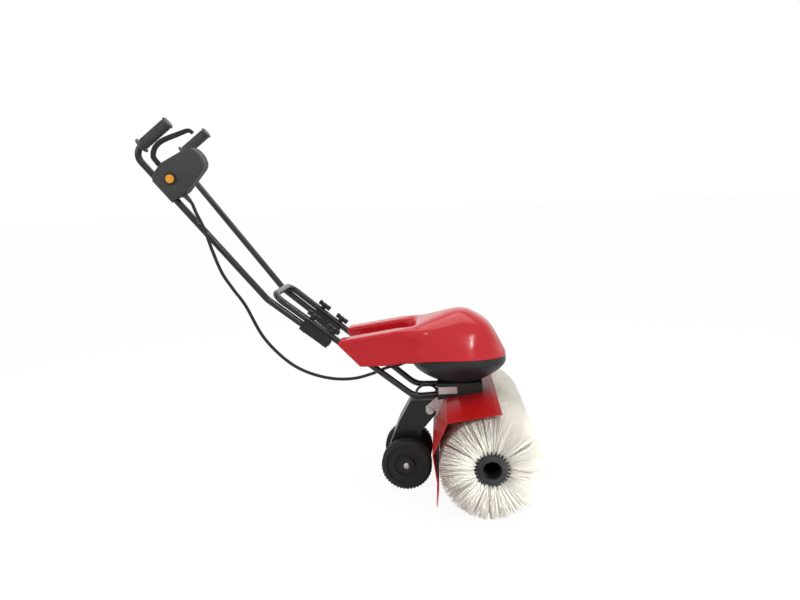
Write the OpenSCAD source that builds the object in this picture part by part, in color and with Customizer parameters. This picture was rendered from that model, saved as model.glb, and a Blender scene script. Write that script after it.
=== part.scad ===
// Hand-guided power brush sweeper: handle, motor, worm gearbox, roller brush, hood and wheels.
// Millimetres, +Z up, +X forwards, right-hand side at -Y, floor at Z = 0.
// The origin lies on the floor, midway between the handle's rear bend and the front of the brush.

/* [Brush] */
// Diameter over the bristle tips
brush_d = 272; // [250:1:280]
// Length over both brush halves
brush_len = 600; // [520:5:660]
// Space between the two halves for the gearbox
brush_gap = 76; // [74:1:90]
// Outside diameter of the plastic core
core_d = 78; // [70:1:90]
// Open bore at the outer end of each core
core_bore_d = 47; // [42:1:52]
// Rows of tufts along one half
tuft_rows = 8; // [5:1:8]
// Tufts round the core
tufts_around = 30; // [22:1:30]
// Thickness of the sleeve the tufts grow from
tuft_backing_t = 2; // [1.5:0.25:3]

/* [Drive] */
// Distance from the brush axis back to the motor axis
worm_centre = 69; // [66:1:74]
// Teeth on the worm wheel
wheel_teeth = 34; // [30:2:36]
// Pitch radius of the worm
worm_pitch_r = 18; // [17:0.5:20]
// Diameter of the brush shaft
output_shaft_d = 20; // [16:1:22]
// Diameter of the motor shaft
motor_shaft_d = 12; // [10:1:14]
// Width of the gearbox between the brush halves
case_w = 52; // [50:1:58]

/* [Hood] */
// Width of the sheet hood
hood_w = 596; // [500:2:640]
// Sheet thickness
hood_t = 2; // [1.5:0.25:3]
// Gap between the bristle tips and the top sheet
hood_gap = 4.5; // [4:0.5:8]
// Tilt of the top sheet, front edge up
hood_tilt = 9; // [6:0.5:11]

/* [Motor] */
// Radius of the bowl's rim
bowl_r = 134; // [128:1:140]
// Height of the seam between the bowl and the cover
seam_z = 372; // [364:1:380]
// Height of the cover's crown
crown_z = 506; // [496:1:516]
// Wall of the bowl and the cover
cover_wall = 3; // [2.5:0.25:4]
// Outer radius of the stator
stator_r = 62; // [56:1:68]

/* [Handle] */
// Tube diameter
tube_d = 18; // [16:0.5:20]
// Wall of the tubes
tube_wall = 1.5; // [1.25:0.25:2]
// Height of the lower handle's crossbar
crossbar_z = 577; // [560:1:590]
// Half the width of the lower handle at its crossbar
crossbar_half_w = 103; // [98:1:108]
// Half the width between the grips
grip_half_w = 153; // [145:1:160]
// Height of the grips' ends
grip_end_z = 1049; // [1030:1:1070]
// Grip sleeve diameter
grip_d = 28; // [25:0.5:31]
// Grip length
grip_len = 98; // [90:1:106]
// Cable diameter
cord_d = 9; // [7:0.5:10]

/* [Wheels] */
// Wheel diameter
wheel_d = 144; // [136:1:150]
// Wheel width
wheel_w = 36; // [30:1:40]
// Distance between the wheels' middles
wheel_track = 148; // [142:1:156]
// Axle diameter
axle_d = 12; // [10:1:14]

/* [Hidden] */
$fn = 64;

// Clearances and the overrun of every cut
run_fit = 0.08;
seat_fit = 0.15;
part_gap = 0.5;
over = 1;

// Vectors and frames
function unit(v) = v / norm(v);
function mix(a, b, t) = a + (b - a) * t;
function flip(p) = [p.x, -p.y, p.z];
module aim(p, dir) {
    d = unit(dir);
    translate(p) rotate([0, acos(d.z), atan2(d.y, d.x)]) children();
}
module framed(p, x, y, z) {
    multmatrix([[x.x, y.x, z.x, p.x], [x.y, y.y, z.y, p.y], [x.z, y.z, z.z, p.z], [0, 0, 0, 1]])
        children();
}
module rod(a, b, d) {
    aim(a, b - a) cylinder(d = d, h = norm(b - a));
}
module along_y(x, z, y0, y1, d) {
    translate([x, y0, z]) rotate([-90, 0, 0]) cylinder(d = d, h = y1 - y0);
}
module both_sides() {
    children();
    mirror([0, 1, 0]) children();
}
module ring_section(d, wall) {
    difference() {
        circle(d = d);
        if (2 * wall < d) circle(d = d - 2 * wall);
    }
}

// A bent tube through corner points, each corner with its own bend radius.
// A bend is a little heavier than the straights, and they end inside it.
bend_swell = 0.1;
bend_lap = 1;
function bend_turn(a, b, c) = acos(unit(b - a) * unit(c - b));
function bend_run(a, b, c, r) = r * tan(bend_turn(a, b, c) / 2);
module elbow(a, b, c, r, d, wall) {
    u = unit(b - a);
    w = unit(c - b);
    inward = unit(w - u * (u * w));
    centre = b - u * bend_run(a, b, c, r) + inward * r;
    framed(centre, -inward, u, cross(-inward, u))
        rotate_extrude(angle = bend_turn(a, b, c)) translate([r, 0])
            ring_section(d + 2 * bend_swell, wall + 2 * bend_swell);
}
module bent_tube(pts, radii, d, wall) {
    last = len(pts) - 1;
    trims = [for (i = [0:last])
        i == 0 || i == last ? 0 : bend_run(pts[i - 1], pts[i], pts[i + 1], radii[i]) - bend_lap];
    for (i = [0:last - 1]) {
        u = unit(pts[i + 1] - pts[i]);
        aim(pts[i] + u * trims[i], u)
            linear_extrude(norm(pts[i + 1] - pts[i]) - trims[i] - trims[i + 1]) ring_section(d, wall);
    }
    for (i = [1:last - 1])
        elbow(pts[i - 1], pts[i], pts[i + 1], radii[i], d, wall);
}

// Main places: the brush axis sets the frame, and other pieces are measured back from it
tube_r = tube_d / 2;
handle_reach = 906;
brush_r = brush_d / 2;
brush_x = (handle_reach - brush_r) / 2;
axis_z = brush_r;
motor_x = brush_x - worm_centre;

// Lower handle: a leg runs up from the motor base to the crossbar
leg_foot_back = 118;
leg_foot_half_w = 56;
leg_foot_z = 270;
leg_bend_back = 200;
leg_bend_half_w = 66;
leg_bend_z = 268;
leg_bend_r = 60;
crossbar_back = 575;
crossbar_bend_r = 34;
leg_foot = [brush_x - leg_foot_back, -leg_foot_half_w, leg_foot_z];
leg_bend = [brush_x - leg_bend_back, -leg_bend_half_w, leg_bend_z];
leg_top = [brush_x - crossbar_back, -crossbar_half_w, crossbar_z];
leg_dir = unit(leg_top - leg_bend);

// Clamp frame: x inwards, y up the leg, z off the leg towards the knobs
clamp_side = unit(cross(leg_dir, [0, 0, 1]));
clamp_up = cross(clamp_side, leg_dir);
tube_space = 2;
tube_pitch = tube_d + tube_space;
clamp_len = 92;
clamp_start_share = 0.585;
clamp_base = mix(leg_bend, leg_top, clamp_start_share);
bolt_inset = 13;
bolt_pitch = clamp_len - 2 * bolt_inset;
bolt_d = 6;
clamp_cheek = 6;
clamp_w = tube_d + 2 * clamp_cheek;
clamp_floor = 4;

// Upper handle: lies under the leg, bends up to the grip
upper_end_past = 3;
upper_start = clamp_base - clamp_up * tube_pitch - leg_dir * upper_end_past;
upper_bend_past = 6;
upper_bend = leg_top - clamp_up * tube_pitch + leg_dir * upper_bend_past;
grip_corner_back = 910;
grip_rise = 75;
grip_corner_z = grip_end_z - grip_rise;
grip_corner = [brush_x - grip_corner_back, -grip_half_w, grip_corner_z];
grip_end_back = 808;
grip_end = [brush_x - grip_end_back, -grip_half_w, grip_end_z];
upper_bend_r = 70;
grip_bend_r = 30;
grip_dir = unit(grip_end - grip_corner);
handle_dir = unit(grip_corner - upper_bend);
slide_travel = 20;

// Control box frame: x forwards from the tube, y up the tube, z outwards
box_from_bend = 360;
box_o = upper_bend + handle_dir * box_from_bend;
box_v = unit([handle_dir.z, 0, -handle_dir.x]);
box_w = cross(box_v, handle_dir);
box_depth_v = 137;
box_height_u = 90;
box_out = 34;
box_split = 6.5;
box_in = 14;
box_wall = 3;
box_shares = [
    [-0.02, 0], [-0.02, 0.86], [0.15, 0.95], [0.33, 1], [0.80, 0.85], [0.88, 0.815], [0.945, 0.75],
    [0.985, 0.66], [1, 0.55], [1, 0.42], [0.985, 0.30], [0.95, 0.17], [0.90, 0.09],
    [0.84, 0.045], [0.30, -0.11], [0.17, -0.09]
];
box_outline = [for (p = box_shares) [p.x * box_depth_v, p.y * box_height_u]];
button_shares = [0.27, 0.478];
button_at = [button_shares.x * box_depth_v, button_shares.y * box_height_u];
button_d = 22;
button_travel = 4;
bezel_d = 31;
lever_band = 12;
lever_t = 10;
lever_mid = 12;
lever_shares = [
    [0.263, 0.81], [0.257, 1.10], [0.262, 1.30], [0.325, 1.40], [0.43, 1.445], [0.58, 1.45],
    [0.80, 1.40], [1.01, 1.265], [1.11, 1.205], [1.165, 1.10]
];
lever_path = [for (p = lever_shares) [p.x * box_depth_v, p.y * box_height_u]];
lever_pivot = lever_path[0];
lever_pin_d = 6;

// Handle tubes and clamps
module in_clamp(along) {
    framed(clamp_base + leg_dir * along, clamp_side, leg_dir, clamp_up) children();
}
bolt_places = [bolt_inset, clamp_len - bolt_inset];
bolt_head_d = 12;
bolt_head_h = 4;
bolt_hole_d = bolt_d + 2 * part_gap;
knob_hub_d = 15;
knob_hub_h = 15;
knob_foot = tube_r + part_gap;
knob_roof = 3;
wing_span = 40;
wing_t = 9;
wing_w = 12;
wing_rise = 4;

module leg_bolt_holes() {
    for (along = bolt_places)
        in_clamp(along) translate([0, 0, -tube_d]) cylinder(d = bolt_hole_d, h = 2 * tube_d);
}
module lower_handle() {
    color("black") difference() {
        bent_tube(
            [leg_foot, leg_bend, leg_top, flip(leg_top), flip(leg_bend), flip(leg_foot)],
            [0, leg_bend_r, crossbar_bend_r, crossbar_bend_r, leg_bend_r, 0], tube_d, tube_wall
        );
        both_sides() leg_bolt_holes();
    }
}
module upper_tube() {
    slot_d = bolt_hole_d;
    color("black") difference() {
        bent_tube([upper_start, upper_bend, grip_corner, grip_end - grip_dir * grip_cap_t],
            [0, upper_bend_r, grip_bend_r, 0], tube_d, tube_wall);
        for (along = bolt_places) in_clamp(along) translate([0, 0, -tube_pitch - tube_d]) {
            cylinder(d = slot_d, h = 2 * tube_d);
            translate([0, slide_travel, 0]) cylinder(d = slot_d, h = 2 * tube_d);
            translate([-slot_d / 2, 0, 0]) cube([slot_d, slide_travel, 2 * tube_d]);
        }
    }
}
module right_upper_handle() { upper_tube(); }
module left_upper_handle() { mirror([0, 1, 0]) upper_tube(); }

grip_cap_t = 4;
grip_flange_d = 43;
grip_flange_t = 5;
grip_rim_d = 34;
grip_rim_t = 7;
grip_ribs = 12;
grip_rib_t = 2.4;
grip_rib_h = 1.5;
module grip() {
    start = grip_end - grip_dir * grip_len;
    rib_len = grip_len - grip_flange_t - grip_rim_t + 2 * over;
    color("dimgray") aim(start, grip_dir) difference() {
        union() {
            cylinder(d = grip_d, h = grip_len);
            cylinder(d = grip_flange_d, h = grip_flange_t);
            translate([0, 0, grip_len - grip_rim_t]) cylinder(d = grip_rim_d, h = grip_rim_t);
            for (i = [0:grip_ribs - 1]) rotate([0, 0, i * 360 / grip_ribs])
                translate([grip_d / 2 - grip_rib_t, -grip_rib_t / 2, grip_flange_t - over])
                    cube([grip_rib_t + grip_rib_h, grip_rib_t, rib_len]);
        }
        translate([0, 0, -over]) cylinder(d = tube_d + 2 * run_fit, h = grip_len - grip_cap_t + over);
    }
}
module right_grip() { grip(); }
module left_grip() { mirror([0, 1, 0]) grip(); }

module clamp_saddle() {
    foot = -tube_pitch - tube_r - clamp_floor;
    head = -tube_space;
    color("#1c1c1e") in_clamp(0) difference() {
        translate([-clamp_w / 2, 0, foot]) cube([clamp_w, clamp_len, head - foot]);
        translate([0, -over, 0]) rotate([-90, 0, 0])
            cylinder(d = tube_d + 2 * seat_fit, h = clamp_len + 2 * over);
        translate([0, -over, -tube_pitch]) rotate([-90, 0, 0])
            cylinder(d = tube_d + 2 * run_fit, h = clamp_len + 2 * over);
        for (along = bolt_places)
            translate([0, along, foot - over]) cylinder(d = bolt_hole_d, h = head - foot + 2 * over);
    }
}
module right_clamp() { clamp_saddle(); }
module left_clamp() { mirror([0, 1, 0]) clamp_saddle(); }

module clamp_bolts() {
    foot = -tube_pitch - tube_r - clamp_floor;
    top = knob_foot + knob_hub_h - knob_roof - part_gap;
    color("silver") both_sides() for (along = bolt_places) in_clamp(along) {
        translate([0, 0, foot - bolt_head_h]) cylinder(d = bolt_head_d, h = bolt_head_h, $fn = 6);
        translate([0, 0, foot - over]) cylinder(d = bolt_d, h = top - foot + over);
    }
}
module wing_knob(along) {
    color("#1c1c1e") in_clamp(along) translate([0, 0, knob_foot]) difference() {
        union() {
            cylinder(d = knob_hub_d, h = knob_hub_h);
            translate([-wing_t / 2, -wing_span / 2 + wing_w / 2, wing_rise])
                cube([wing_t, wing_span - wing_w, knob_hub_h - 2 * wing_rise + over]);
            for (s = [-1, 1]) translate([0, s * (wing_span - wing_w) / 2, wing_rise])
                cylinder(d = wing_w, h = knob_hub_h - wing_rise + over);
        }
        translate([0, 0, -over]) cylinder(d = bolt_d + 2 * run_fit, h = knob_hub_h - knob_roof + over);
    }
}
module right_front_knob() { wing_knob(bolt_places[0]); }
module right_rear_knob() { wing_knob(bolt_places[1]); }
module left_front_knob() { mirror([0, 1, 0]) wing_knob(bolt_places[0]); }
module left_rear_knob() { mirror([0, 1, 0]) wing_knob(bolt_places[1]); }

// Control box on the right handle
module in_box() {
    framed(box_o, box_v, handle_dir, box_w) children();
}
box_mid = [box_depth_v / 2, box_height_u / 2];
box_inset_share = 1 - 2 * box_wall / box_height_u;
box_hollow = [for (p = box_outline) box_mid + (p - box_mid) * box_inset_share];
sleeve_wall = 4;
sleeve_d = tube_d + 2 * sleeve_wall;
sleeve_share = 0.84;
sleeve_len = box_height_u * sleeve_share;
screw_d = 4;
box_screw_shares = [[0.16, 0.80], [0.80, 0.62], [0.84, 0.20], [0.25, 0.08]];
box_screw_at = [for (p = box_screw_shares) [p.x * box_depth_v, p.y * box_height_u]];
boss_d = 9;
lever_slot_half = 13;
cord_exit_shares = [0.235, -0.10];
cord_exit = [cord_exit_shares.x * box_depth_v, cord_exit_shares.y * box_height_u];
gland_d = 16;
gland_len = 24;
gland_lip = 4;

module box_tube_space(d) {
    translate([0, -box_height_u, 0]) rotate([-90, 0, 0]) cylinder(d = d, h = 3 * box_height_u);
}
module box_bosses(z0, z1) {
    for (p = box_screw_at) translate([p.x, p.y, z0]) cylinder(d = boss_d, h = z1 - z0);
}
module box_screw_holes() {
    for (p = box_screw_at) translate([p.x, p.y, -box_in - over])
        cylinder(d = screw_d + 2 * seat_fit, h = box_out + box_in - box_wall);
}
module gland_space() {
    rim_d = gland_d + 2 * seat_fit;
    translate([0, 0, -2 * gland_lip]) cylinder(d = rim_d, h = 2 * gland_lip + seat_fit);
    cylinder(d = gland_d - gland_lip + 2 * seat_fit, h = gland_len);
    translate([0, 0, box_wall - seat_fit]) cylinder(d = rim_d, h = gland_len);
}
module switch_box_outer() {
    color("#3a3a3c") in_box() difference() {
        union() {
            difference() {
                translate([0, 0, box_split]) linear_extrude(box_out - box_split) polygon(box_outline);
                translate([0, 0, box_split - over])
                    linear_extrude(box_out - box_split - box_wall + over) polygon(box_hollow);
            }
            box_bosses(box_split, box_out - over);
            lever_boss(lever_mid + lever_t / 2 + part_gap, box_out - over);
        }
        box_tube_space(sleeve_d + 2 * part_gap);
        box_screw_holes();
        lever_slot();
        translate([cord_exit.x, cord_exit.y + box_wall, gland_z]) rotate([90, 0, 0]) gland_space();
        translate([button_at.x, button_at.y, box_split]) cylinder(d = button_d + 2 * run_fit, h = box_out);
        translate([lever_pivot.x, lever_pivot.y, 0])
            cylinder(d = lever_pin_d + 2 * seat_fit, h = box_out - box_wall);
    }
}
module lever_boss(z0, z1) {
    translate([lever_pivot.x, lever_pivot.y, z0]) cylinder(d = lever_pin_d + 2 * box_wall, h = z1 - z0);
}
module lever_slot() {
    translate([lever_pivot.x - lever_slot_half, lever_pivot.y, box_split - over])
        cube([2 * lever_slot_half, box_height_u, lever_mid + lever_t / 2 + part_gap - box_split + over]);
}
module switch_box_inner() {
    color("#454547") in_box() difference() {
        union() {
            difference() {
                translate([0, 0, -box_in]) linear_extrude(box_in + box_split) polygon(box_outline);
                translate([0, 0, -box_in + box_wall])
                    linear_extrude(box_in + box_split) polygon(box_hollow);
            }
            box_bosses(-box_in, box_split);
            lever_boss(-box_in, box_split);
            rotate([-90, 0, 0]) cylinder(d = sleeve_d, h = sleeve_len);
        }
        box_tube_space(tube_d + 2 * run_fit);
        box_screw_holes();
        translate([lever_pivot.x, lever_pivot.y, -box_in + box_wall])
            cylinder(d = lever_pin_d + 2 * seat_fit, h = box_out);
    }
}
module switch_box_screws() {
    head_h = box_wall;
    color("silver") in_box() for (p = box_screw_at) translate([p.x, p.y, -box_in - head_h]) {
        cylinder(d = 2 * screw_d, h = head_h);
        cylinder(d = screw_d, h = box_in + box_split + head_h + 2 * box_wall);
    }
}
module lever_strip(a, b) {
    side = across(a, b) * lever_band / 2;
    polygon([a + side, a - side, b - side, b + side]);
}
module dead_man_lever() {
    color("#222224") in_box() translate([0, 0, lever_mid - lever_t / 2]) linear_extrude(lever_t)
        difference() {
            union() {
                for (i = [0:len(lever_path) - 2]) lever_strip(lever_path[i], lever_path[i + 1]);
                for (p = lever_path) translate(p) circle(d = lever_band + seat_fit);
            }
            translate(lever_pivot) circle(d = lever_pin_d + 2 * run_fit);
        }
}
module lever_pin() {
    color("silver") in_box() translate([lever_pivot.x, lever_pivot.y, -box_in + box_wall + part_gap])
        cylinder(d = lever_pin_d, h = box_out + box_in - 2 * box_wall - 2 * part_gap);
}
bezel_t = 4;
button_proud = 6;
module button_bezel() {
    color("#151517") in_box() translate([button_at.x, button_at.y, box_out]) difference() {
        cylinder(d = bezel_d, h = bezel_t);
        translate([0, 0, -over]) cylinder(d = button_d + 2 * run_fit, h = bezel_t + 2 * over);
    }
}
module run_button() {
    foot = switch_top + button_travel + part_gap;
    color("orange") in_box() translate([button_at.x, button_at.y, foot])
        cylinder(d = button_d, h = box_out + bezel_t + button_proud - foot);
}
switch_size = [40, 44, 16];
switch_floor = -box_in + box_wall;
switch_top = switch_floor + switch_size.z;
module switch_block() {
    side = button_at.x - switch_size.x / 3;
    foot = button_at.y - (switch_size.y + switch_size.z) / 2;
    color("#202022") in_box() translate([side, foot, switch_floor]) cube(switch_size);
}

// Motor base: the block between the hood and the bowl
base_back = 134;
base_front = 8;
base_half_w = 80;
base_top = 305;
hood_in_r = brush_r + hood_gap;
function hood_under(x) = axis_z + (hood_in_r + (x - brush_x) * sin(hood_tilt)) / cos(hood_tilt);
function hood_over(x) = axis_z + (hood_in_r + hood_t + (x - brush_x) * sin(hood_tilt)) / cos(hood_tilt);
tower_d = 60;
tower_drop = 20;
tower_top = base_top - tower_drop;
bearing_d = 32;
bearing_h = 10;
shaft_way_play = 4;
shaft_way_d = motor_shaft_d + 2 * shaft_way_play;
bow_pocket_w = 26;
bow_pocket_depth = 22;
module motor_base() {
    x0 = brush_x - base_back;
    x1 = brush_x - base_front;
    color("#1a1a1c") difference() {
        translate([0, base_half_w, 0]) rotate([90, 0, 0]) linear_extrude(2 * base_half_w)
            polygon([[x0, hood_over(x0)], [x1, hood_over(x1)], [x1, base_top], [x0, base_top]]);
        translate([motor_x, 0, 0]) {
            cylinder(d = tower_d + 2 * seat_fit, h = tower_top);
            cylinder(d = shaft_way_d, h = base_top + over);
            translate([0, 0, base_top - bearing_h - cover_wall])
                cylinder(d = bearing_d + 2 * seat_fit, h = bearing_h + cover_wall + over);
        }
        translate([x0 - over, -bow_pocket_w / 2, 0])
            cube([bow_pocket_depth + over, bow_pocket_w, base_top + over]);
        both_sides() rod(leg_foot, leg_bend, tube_d + 2 * seat_fit);
        for (p = hood_bolt_at) translate([p.x, p.y, 0])
            cylinder(d = hood_bolt_d + 2 * seat_fit, h = hood_bolt_top);
    }
}
plate_size = [52, 1.5, 20];
plate_inset = 3;
plate_z = 276;
module bare_plate() {
    color("silver") translate([brush_x - base_back + plate_inset, -base_half_w - plate_size.y, plate_z])
        cube(plate_size);
}

// Bowl: a round tub under the seam
bowl_floor_r = 70;
bowl_floor_z = base_top;
bowl_lip_h = 18;
bowl_swell = 1.6;
bowl_steps = 8;
function bowl_radius(z) =
    let (rise = (z - bowl_floor_z) / (seam_z - bowl_lip_h - bowl_floor_z), t = max(0, min(1, rise)))
    bowl_floor_r + (bowl_r - bowl_floor_r) * (1 - pow(1 - t, bowl_swell));
function bowl_level(i) =
    bowl_floor_z + (seam_z - bowl_lip_h - bowl_floor_z) * i / bowl_steps;
stator_wall = 4;
stator_z = 332;
stator_h = 68;
stator_lip = 6;
boss_inset = 9.5;
boss_r = bowl_r - boss_inset;
boss_turns = [35, 152, 208, 325];
cover_boss_d = 15;
cover_screw_head_d = 6.5;
cover_boss_h = 20;
bowl_boss_h = 12;
module at_cover_screws() {
    for (a = boss_turns) translate([motor_x + boss_r * cos(a), boss_r * sin(a), 0]) children();
}
module motor_bowl() {
    outer = [for (i = [0:bowl_steps]) [bowl_radius(bowl_level(i)), bowl_level(i)]];
    inner = [for (p = outer) p + [-cover_wall, cover_wall]];
    seat_in = stator_r - stator_lip;
    seat_bore = stator_r + seat_fit;
    seat_out = stator_r + stator_wall;
    seat_floor = bowl_floor_z + cover_wall / 2;
    color("#2c2c2f") difference() {
        union() {
            translate([motor_x, 0, 0]) rotate_extrude() polygon(concat(
                [[shaft_way_d / 2, bowl_floor_z]], outer, [[bowl_r, seam_z], [bowl_r - cover_wall, seam_z]],
                [for (i = [bowl_steps:-1:0]) inner[i]], [[shaft_way_d / 2, bowl_floor_z + cover_wall]]));
            translate([motor_x, 0, 0]) rotate_extrude() polygon([
                [seat_in, seat_floor], [seat_out, seat_floor], [seat_out, stator_z + stator_lip],
                [seat_bore, stator_z + stator_lip], [seat_bore, stator_z], [seat_in, stator_z]
            ]);
            at_cover_screws() translate([0, 0, seam_z - bowl_boss_h]) cylinder(d = cover_boss_d, h = bowl_boss_h);
        }
        at_cover_screws() cylinder(d = screw_d + 2 * seat_fit, h = seam_z + over);
        aim(bowl_gland_at, bowl_gland_dir) gland_space();
    }
}
module cover_screws() {
    color("silver") at_cover_screws() {
        translate([0, 0, seam_z - bowl_boss_h - screw_d]) {
            cylinder(d = cover_screw_head_d, h = screw_d);
            cylinder(d = screw_d, h = bowl_boss_h + cover_boss_h - screw_d);
        }
    }
}

// Cable between the control box and the motor bowl
gland_z = (box_split + box_out) / 2;
module gland_body() {
    neck_d = gland_d - gland_lip;
    tip_d = cord_d + gland_lip / 2;
    rotate_extrude() polygon([
        [0, -gland_lip], [gland_d / 2, -gland_lip], [gland_d / 2, 0], [neck_d / 2, 0],
        [neck_d / 2, box_wall], [gland_d / 2, box_wall], [gland_d / 2, box_wall + gland_lip],
        [tip_d / 2, gland_len], [0, gland_len]
    ]);
}
box_gland_at = box_o + box_v * cord_exit.x + handle_dir * cord_exit.y + box_w * gland_z;
module box_gland() {
    color("#151517") aim(box_gland_at + handle_dir * box_wall, -handle_dir) gland_body();
}
bowl_gland_turn = 195.5;
bowl_gland_drop = 10;
bowl_gland_z = seam_z - bowl_gland_drop;
bowl_gland_r = bowl_radius(bowl_gland_z) - cover_wall;
bowl_gland_dir = [cos(bowl_gland_turn), sin(bowl_gland_turn), 0];
bowl_gland_at = [motor_x, 0, bowl_gland_z] + bowl_gland_dir * bowl_gland_r;
module bowl_gland() {
    color("#151517") aim(bowl_gland_at, bowl_gland_dir) gland_body();
}
// Cable route: shares of the handle's reach, of the grips' half width and of the grips' height
cord_shares = [
    [0.8333, 1.0000, 0.7731], [0.8135, 0.9804, 0.7293], [0.7969, 0.9542, 0.6749],
    [0.7759, 0.9150, 0.6177], [0.7483, 0.8758, 0.5739], [0.7152, 0.8366, 0.5272],
    [0.6755, 0.7843, 0.4490], [0.6302, 0.7255, 0.3947], [0.5806, 0.6601, 0.3546],
    [0.5254, 0.5948, 0.3289], [0.4658, 0.5229, 0.3136], [0.4062, 0.4575, 0.3108],
    [0.3510, 0.3987, 0.3203], [0.3024, 0.3464, 0.3346], [0.2693, 0.3072, 0.3384]
];
cord_route = [for (s = cord_shares)
    [brush_x - s.x * handle_reach, -s.y * grip_half_w, s.z * grip_end_z]];
cord_start = box_gland_at + handle_dir * (box_wall - gland_len);
cord_finish = bowl_gland_at + bowl_gland_dir * gland_len;
cord_points = concat([cord_start], cord_route, [cord_finish]);
cord_sides = 8;
cord_steps = 2;
function route_at(i) = cord_points[max(0, min(len(cord_points) - 1, i))];
function route_slope(i) =
    i <= 0 ? -handle_dir * norm(route_at(1) - route_at(0))
    : i >= len(cord_points) - 1 ? -bowl_gland_dir * norm(route_at(i) - route_at(i - 1))
    : (route_at(i + 1) - route_at(i - 1)) / 2;
function hermite(i, t) =
    let (t2 = t * t, t3 = t2 * t)
    route_at(i) * (2 * t3 - 3 * t2 + 1) + route_slope(i) * (t3 - 2 * t2 + t)
    + route_at(i + 1) * (3 * t2 - 2 * t3) + route_slope(i + 1) * (t3 - t2);
function hermite_slope(i, t) =
    let (t2 = t * t)
    route_at(i) * (6 * t2 - 6 * t) + route_slope(i) * (3 * t2 - 4 * t + 1)
    + route_at(i + 1) * (6 * t - 6 * t2) + route_slope(i + 1) * (3 * t2 - 2 * t);
module power_cord() {
    last = len(cord_points) - 2;
    rings = concat(
        [for (i = [0:last], s = [0:cord_steps - 1])
            [hermite(i, s / cord_steps), hermite_slope(i, s / cord_steps)]],
        [[hermite(last, 1), hermite_slope(last, 1)]]
    );
    count = len(rings);
    points = [for (ring = rings)
        let (t = unit(ring[1]), side = unit(cross(t, [0, 1, 0])), lift = cross(t, side))
        for (k = [0:cord_sides - 1])
            let (a = 360 * k / cord_sides) ring[0] + (side * cos(a) + lift * sin(a)) * cord_d / 2];
    walls = [for (r = [0:count - 2], k = [0:cord_sides - 1])
        let (a = r * cord_sides + k, b = r * cord_sides + (k + 1) % cord_sides)
        each [[a, b, a + cord_sides], [b, b + cord_sides, a + cord_sides]]];
    start_cap = [for (k = [1:cord_sides - 2]) [0, k + 1, k]];
    tail = (count - 1) * cord_sides;
    end_cap = [for (k = [1:cord_sides - 2]) [tail, tail + k, tail + k + 1]];
    color("#18181a") polyhedron(points, [for (f = concat(walls, start_cap, end_cap)) [f[0], f[2], f[1]]]);
}

// Cover: a bulb over the motor with two arms that shroud the legs
cover_reach = 394;
arm_w = 56;
arm_inset = 10;
arm_mid = bowl_r - arm_inset - arm_w / 2;
rim_h = 12;
shoulder_r = 20;
shoulder_back = 183;
shoulder_inset = 31;
shoulder_half_w = bowl_r - shoulder_inset;
shoulder_drop = 46;
shoulder_at = [-shoulder_back, shoulder_half_w, crown_z - shoulder_drop];
crown_r = 45;
crown_back = 60;
crown_half_w = 35;
crown_at = [-crown_back, crown_half_w, crown_z - crown_r];
brow_r = 45;
brow_back = 14;
brow_half_w = 45;
brow_drop = 71;
brow_at = [-brow_back, brow_half_w, crown_z - brow_drop];
// Arm knuckles: shares of the cover's reach, of the crown's height and of the shoulder's radius
arm_shares = [[0.482, 0.899, 1], [1, 0.863, 0.45], [0.835, 0.752, 0.90], [0.508, 0.787, 1]];
arm_knuckles = [for (k = arm_shares) [-k.x * cover_reach, k.y * crown_z, k.z * shoulder_r]];
cover_fn = 40;
rim_fn = 72;
module cover_bulb(inset, drop) {
    hull() {
        translate([motor_x, 0, seam_z - drop])
            cylinder(r = bowl_r + seat_fit - inset, h = rim_h + drop, $fn = rim_fn);
        for (s = [-1, 1]) {
            translate([brush_x + shoulder_at.x, s * shoulder_at.y, shoulder_at.z])
                sphere(r = shoulder_r - inset, $fn = cover_fn);
            translate([brush_x + crown_at.x, s * crown_at.y, crown_at.z])
                sphere(r = crown_r - inset, $fn = cover_fn);
            translate([brush_x + brow_at.x, s * brow_at.y, brow_at.z])
                sphere(r = brow_r - inset, $fn = cover_fn);
        }
    }
}
module cover_arm(inset, drop) {
    hull() for (k = arm_knuckles, d = drop > 0 ? [0, drop] : [0])
        translate([brush_x + k.x, -arm_mid + arm_w / 2 - inset, k.y - d]) rotate([90, 0, 0])
            cylinder(r = k.z - inset, h = arm_w - 2 * inset, $fn = cover_fn);
}
leg_play = 2;
module motor_cover() {
    color("#c8282f") difference() {
        union() {
            cover_bulb(0, 0);
            both_sides() cover_arm(0, 0);
        }
        cover_bulb(cover_wall, over);
        both_sides() {
            cover_arm(cover_wall, arm_mid);
            rod(leg_bend, leg_top, tube_d + 2 * leg_play);
            rod(leg_bend - clamp_up * tube_pitch, leg_top - clamp_up * tube_pitch, tube_d + 2 * leg_play);
        }
        translate([motor_x - 2 * bowl_r, -2 * bowl_r, 0]) cube([4 * bowl_r, 4 * bowl_r, seam_z]);
    }
    color("#c8282f") at_cover_screws() translate([0, 0, seam_z]) difference() {
        cylinder(d = cover_boss_d, h = cover_boss_h);
        translate([0, 0, -over]) cylinder(d = screw_d + 2 * seat_fit, h = cover_boss_h);
    }
}

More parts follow.
